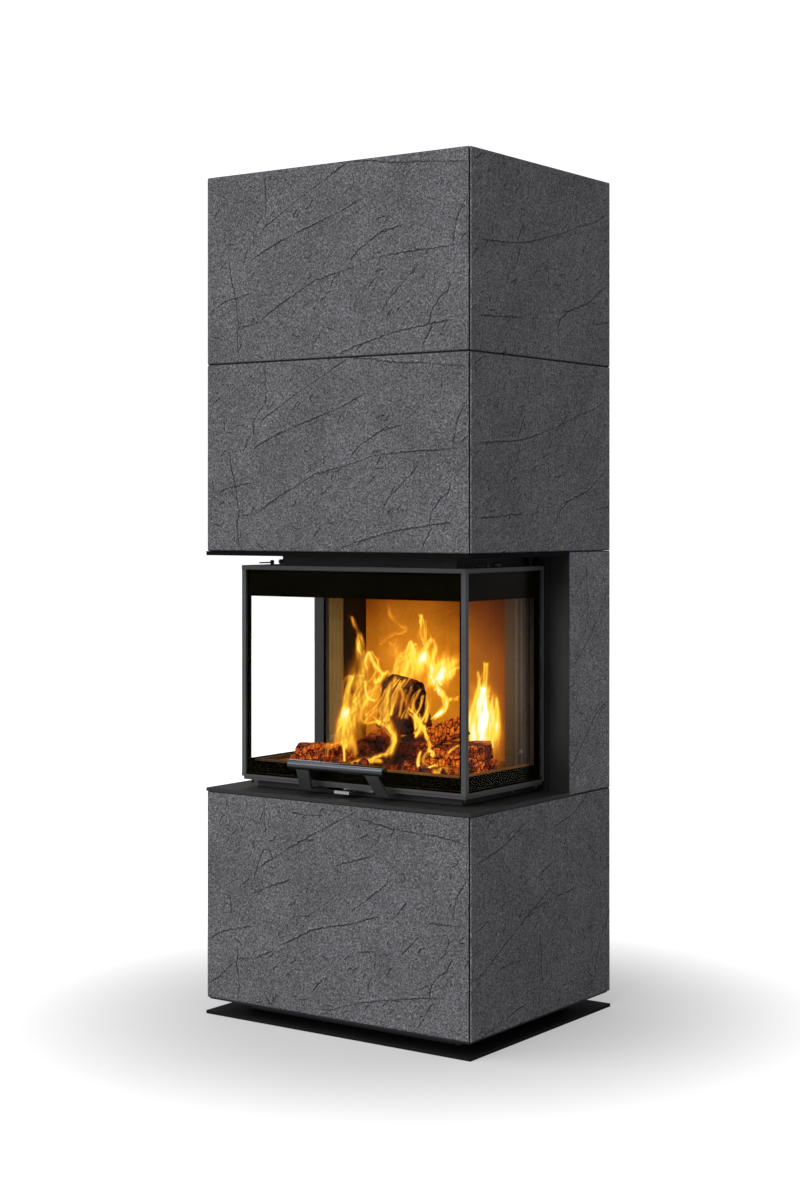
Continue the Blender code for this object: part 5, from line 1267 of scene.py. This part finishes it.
class FIREPLACE_OT_fasteners(bpy.types.Operator):
    """Set the screws and small fittings of casing and door"""

    bl_idname = "fireplace.fasteners"
    bl_label = "Fasteners"

    def execute(self, context):
        look = context.scene.fireplace
        radius, gap = look.fitting.screw, 0.0001
        bronze = brushed_material("bronze_screws", look.metal.bronze, "Z", 0.34)
        dark = coat_material("dark_fittings", tuple(1.6 * c for c in look.metal.plate), 0.40)
        face = corners("column_right")[0][1] - gap
        across, height = 0.220, 0.504
        parts = [screw((side * across, face, height), (0, -1, 0), radius * 1.15) for side, _ in SIDES]
        face = corners("rear_panel")[1][1] + gap
        panel_columns, panel_rows = (-0.24, -0.08, 0.08, 0.24), (0.06, 0.42, 0.80, 1.20, 1.55)
        parts += [screw((x, face, z), (0, 1, 0), radius, 0.24) for x in panel_columns for z in panel_rows]
        place_joined("casing_screws", parts, True, bronze, "zinc_steel")
        low, high = corners("door_frame")
        front, top, under, rail, corner_pin = -0.245, high[2] + gap, low[2] - gap, 0.2480, 0.2430
        # Pins over the door's side rails: distance behind the fireplace's front, height, axis, radius, length.
        lying = (
            (0.096, 0.0036, (0, 1, 0), 0.0014, 0.036),
            (0.1345, 0.0, (0, 0, 1), 0.0040, 0.0082),
            (0.158, 0.0048, (0, 1, 0), 0.0046, 0.019),
        )
        # Pins under them: distance behind the front, radius, length.
        hanging = (
            (0.087, 0.0022, 0.003), (0.120, 0.0024, 0.005), (0.133, 0.0024, 0.004), (0.150, 0.0022, 0.004),
            (0.214, 0.0046, 0.006), (0.235, 0.0022, 0.004), (0.252, 0.0024, 0.004), (0.298, 0.0044, 0.006),
        )
        parts = []
        for side, _ in SIDES:
            x = side * rail
            parts += [pin((x, front + back, top + rise), axis, wide, long) for back, rise, axis, wide, long in lying]
            for back in (0.182, 0.240, 0.262, 0.306):
                parts.append(screw((x, front + back, top), (0, 0, 1), radius * 0.8, 1.1))
            parts += [pin((x, front + back, under), (0, 0, -1), wide, long) for back, wide, long in hanging]
            parts.append(pin((side * corner_pin, front + 0.0690, under), (0, 0, -1), 0.0022, 0.0085))
        parts += [pin((x, low[1] + 0.008, top), (0, 0, 1), 0.0026, 0.004) for x in (-0.156, -0.150, 0.104)]
        place_joined("door_fittings", parts, True, dark, "zinc_steel", body="door")
        return {"FINISHED"}


# ---------------------------------------------------------------- stage


def seen_share(g, glossy=0.0):
    """1 for rays from the camera, also through glass, and a share for glossy ones, but 0 after a matt bounce."""
    ray = g.add("ShaderNodeLightPath").outputs
    seen = g.math("MAXIMUM", ray["Is Camera Ray"], ray["Is Transmission Ray"])
    if glossy:
        seen = g.math("MAXIMUM", seen, g.times(ray["Is Glossy Ray"], glossy))
    return g.times(seen, g.minus(1.0, ray["Diffuse Depth"], clamp=True))


def add_object(name, data, **settings):
    """A new object of the stage in the scene."""
    item = bpy.data.objects.new(name, data)
    bpy.context.scene.collection.objects.link(item)
    for key, value in settings.items():
        setattr(item, key, value)
    return item


class FIREPLACE_OT_stage(bpy.types.Operator):
    """Set the floor, the lamps and the camera"""

    bl_idname = "fireplace.stage"
    bl_label = "Stage"

    def execute(self, context):
        scene, look = context.scene, context.scene.fireplace.stage
        scene.view_settings.view_transform = "Standard"
        world = bpy.data.worlds.new("room")
        scene.world = world
        world.use_nodes = True
        g = Graph(world.node_tree)
        glossy = g.add("ShaderNodeLightPath").outputs["Is Glossy Ray"]
        background = world.node_tree.nodes["Background"].inputs
        background["Color"].default_value = (1, 1, 1, 1)
        backdrop, size = 1.09, 9.0
        g.feed(background["Strength"], g.mix(seen_share(g), g.mix(glossy, look.ambient, look.mirror), backdrop))

        points = np.array(((-size, -size, 0), (size, -size, 0), (size, size, 0), (-size, size, 0)), float)
        mesh = make_mesh("floor", points, (np.array(((0, 1, 2, 3),)),), (False,))
        m = Finish("pale_floor", Roughness=0.9, Specular_IOR_Level=0.0, Emission_Color=(1, 1, 1, 1))
        where = m.position()
        away = m.add("ShaderNodeVectorMath", {0: where}, operation="LENGTH").outputs["Value"]
        # Painted shadow: the floor's glow is weaker near the fireplace, down to a share of it under its middle.
        near, far, painted_shadow = 0.30, 1.10, 0.36
        bright = m.span(away, near, far, painted_shadow * look.lift, look.lift)
        material = m.put(
            Base_Color=m.shade(look.floor, m.vary(m.noise(where, 3.0, 3.0), 0.99, 1.01)),
            Emission_Strength=m.times(seen_share(m, 0.6 * look.mirror), bright),
        )
        mesh.materials.append(material)
        floor = add_object("floor", mesh)

        key = bpy.data.lights.new("key", "SUN")
        key.energy, key.angle = look.key, math.radians(80)
        add_object("key", key, rotation_euler=(math.radians(52), 0, math.radians(-24)))
        fire = bpy.data.lights.new("fire", "POINT")
        fire.energy, fire.color, fire.shadow_soft_size = scene.fireplace.hearth.lamp, (1.0, 0.50, 0.16), 0.03
        hidden = dict.fromkeys(("visible_camera", "visible_transmission", "visible_glossy"), False)
        add_object("fire", fire, location=(0.02, -0.10, 0.66), **hidden)

        camera = bpy.data.cameras.new("camera")
        camera.lens, camera.sensor_width, camera.shift_y = 61.3, 36.0, -0.0692
        turn = (math.radians(90), 0, math.radians(35.3))
        scene.camera = add_object("camera", camera, location=(2.2436, -3.2008, 0.9427), rotation_euler=turn)
        return {"FINISHED"}


# ---------------------------------------------------------------- panel and start


OPERATORS = (
    FIREPLACE_OT_stage,
    FIREPLACE_OT_finishes,
    FIREPLACE_OT_stone,
    FIREPLACE_OT_strips,
    FIREPLACE_OT_glass_borders,
    FIREPLACE_OT_logs,
    FIREPLACE_OT_embers,
    FIREPLACE_OT_flames,
    FIREPLACE_OT_handle,
    FIREPLACE_OT_fasteners,
)


class FIREPLACE_PT_panel(bpy.types.Panel):
    """The pieces of the fireplace, and the sizes and colours of its finishes"""

    bl_idname = "FIREPLACE_PT_panel"
    bl_label = "Fireplace"
    bl_space_type = "VIEW_3D"
    bl_region_type = "UI"
    bl_category = "Fireplace"

    def draw(self, context):
        for operator in OPERATORS:
            self.layout.operator(operator.bl_idname)
        looks = context.scene.fireplace
        for part in FireplaceLook.__annotations__:
            box = self.layout.box()
            box.label(text=part.capitalize())
            group = getattr(looks, part)
            for name in group.__annotations__:
                box.prop(group, name)


LOOKS = (StoneLook, MetalLook, GlassLook, HearthLook, FireLook, FittingLook, StageLook, FireplaceLook)
CLASSES = (*LOOKS, *OPERATORS, FIREPLACE_PT_panel)


def register():
    for cls in CLASSES:
        bpy.utils.register_class(cls)
    bpy.types.Scene.fireplace = PointerProperty(type=FireplaceLook)


def unregister():
    del bpy.types.Scene.fireplace
    for cls in reversed(CLASSES):
        bpy.utils.unregister_class(cls)


def main():
    register()
    for operator in OPERATORS:
        getattr(bpy.ops.fireplace, operator.bl_idname.split(".")[1])()


if __name__ == "__main__":
    main()
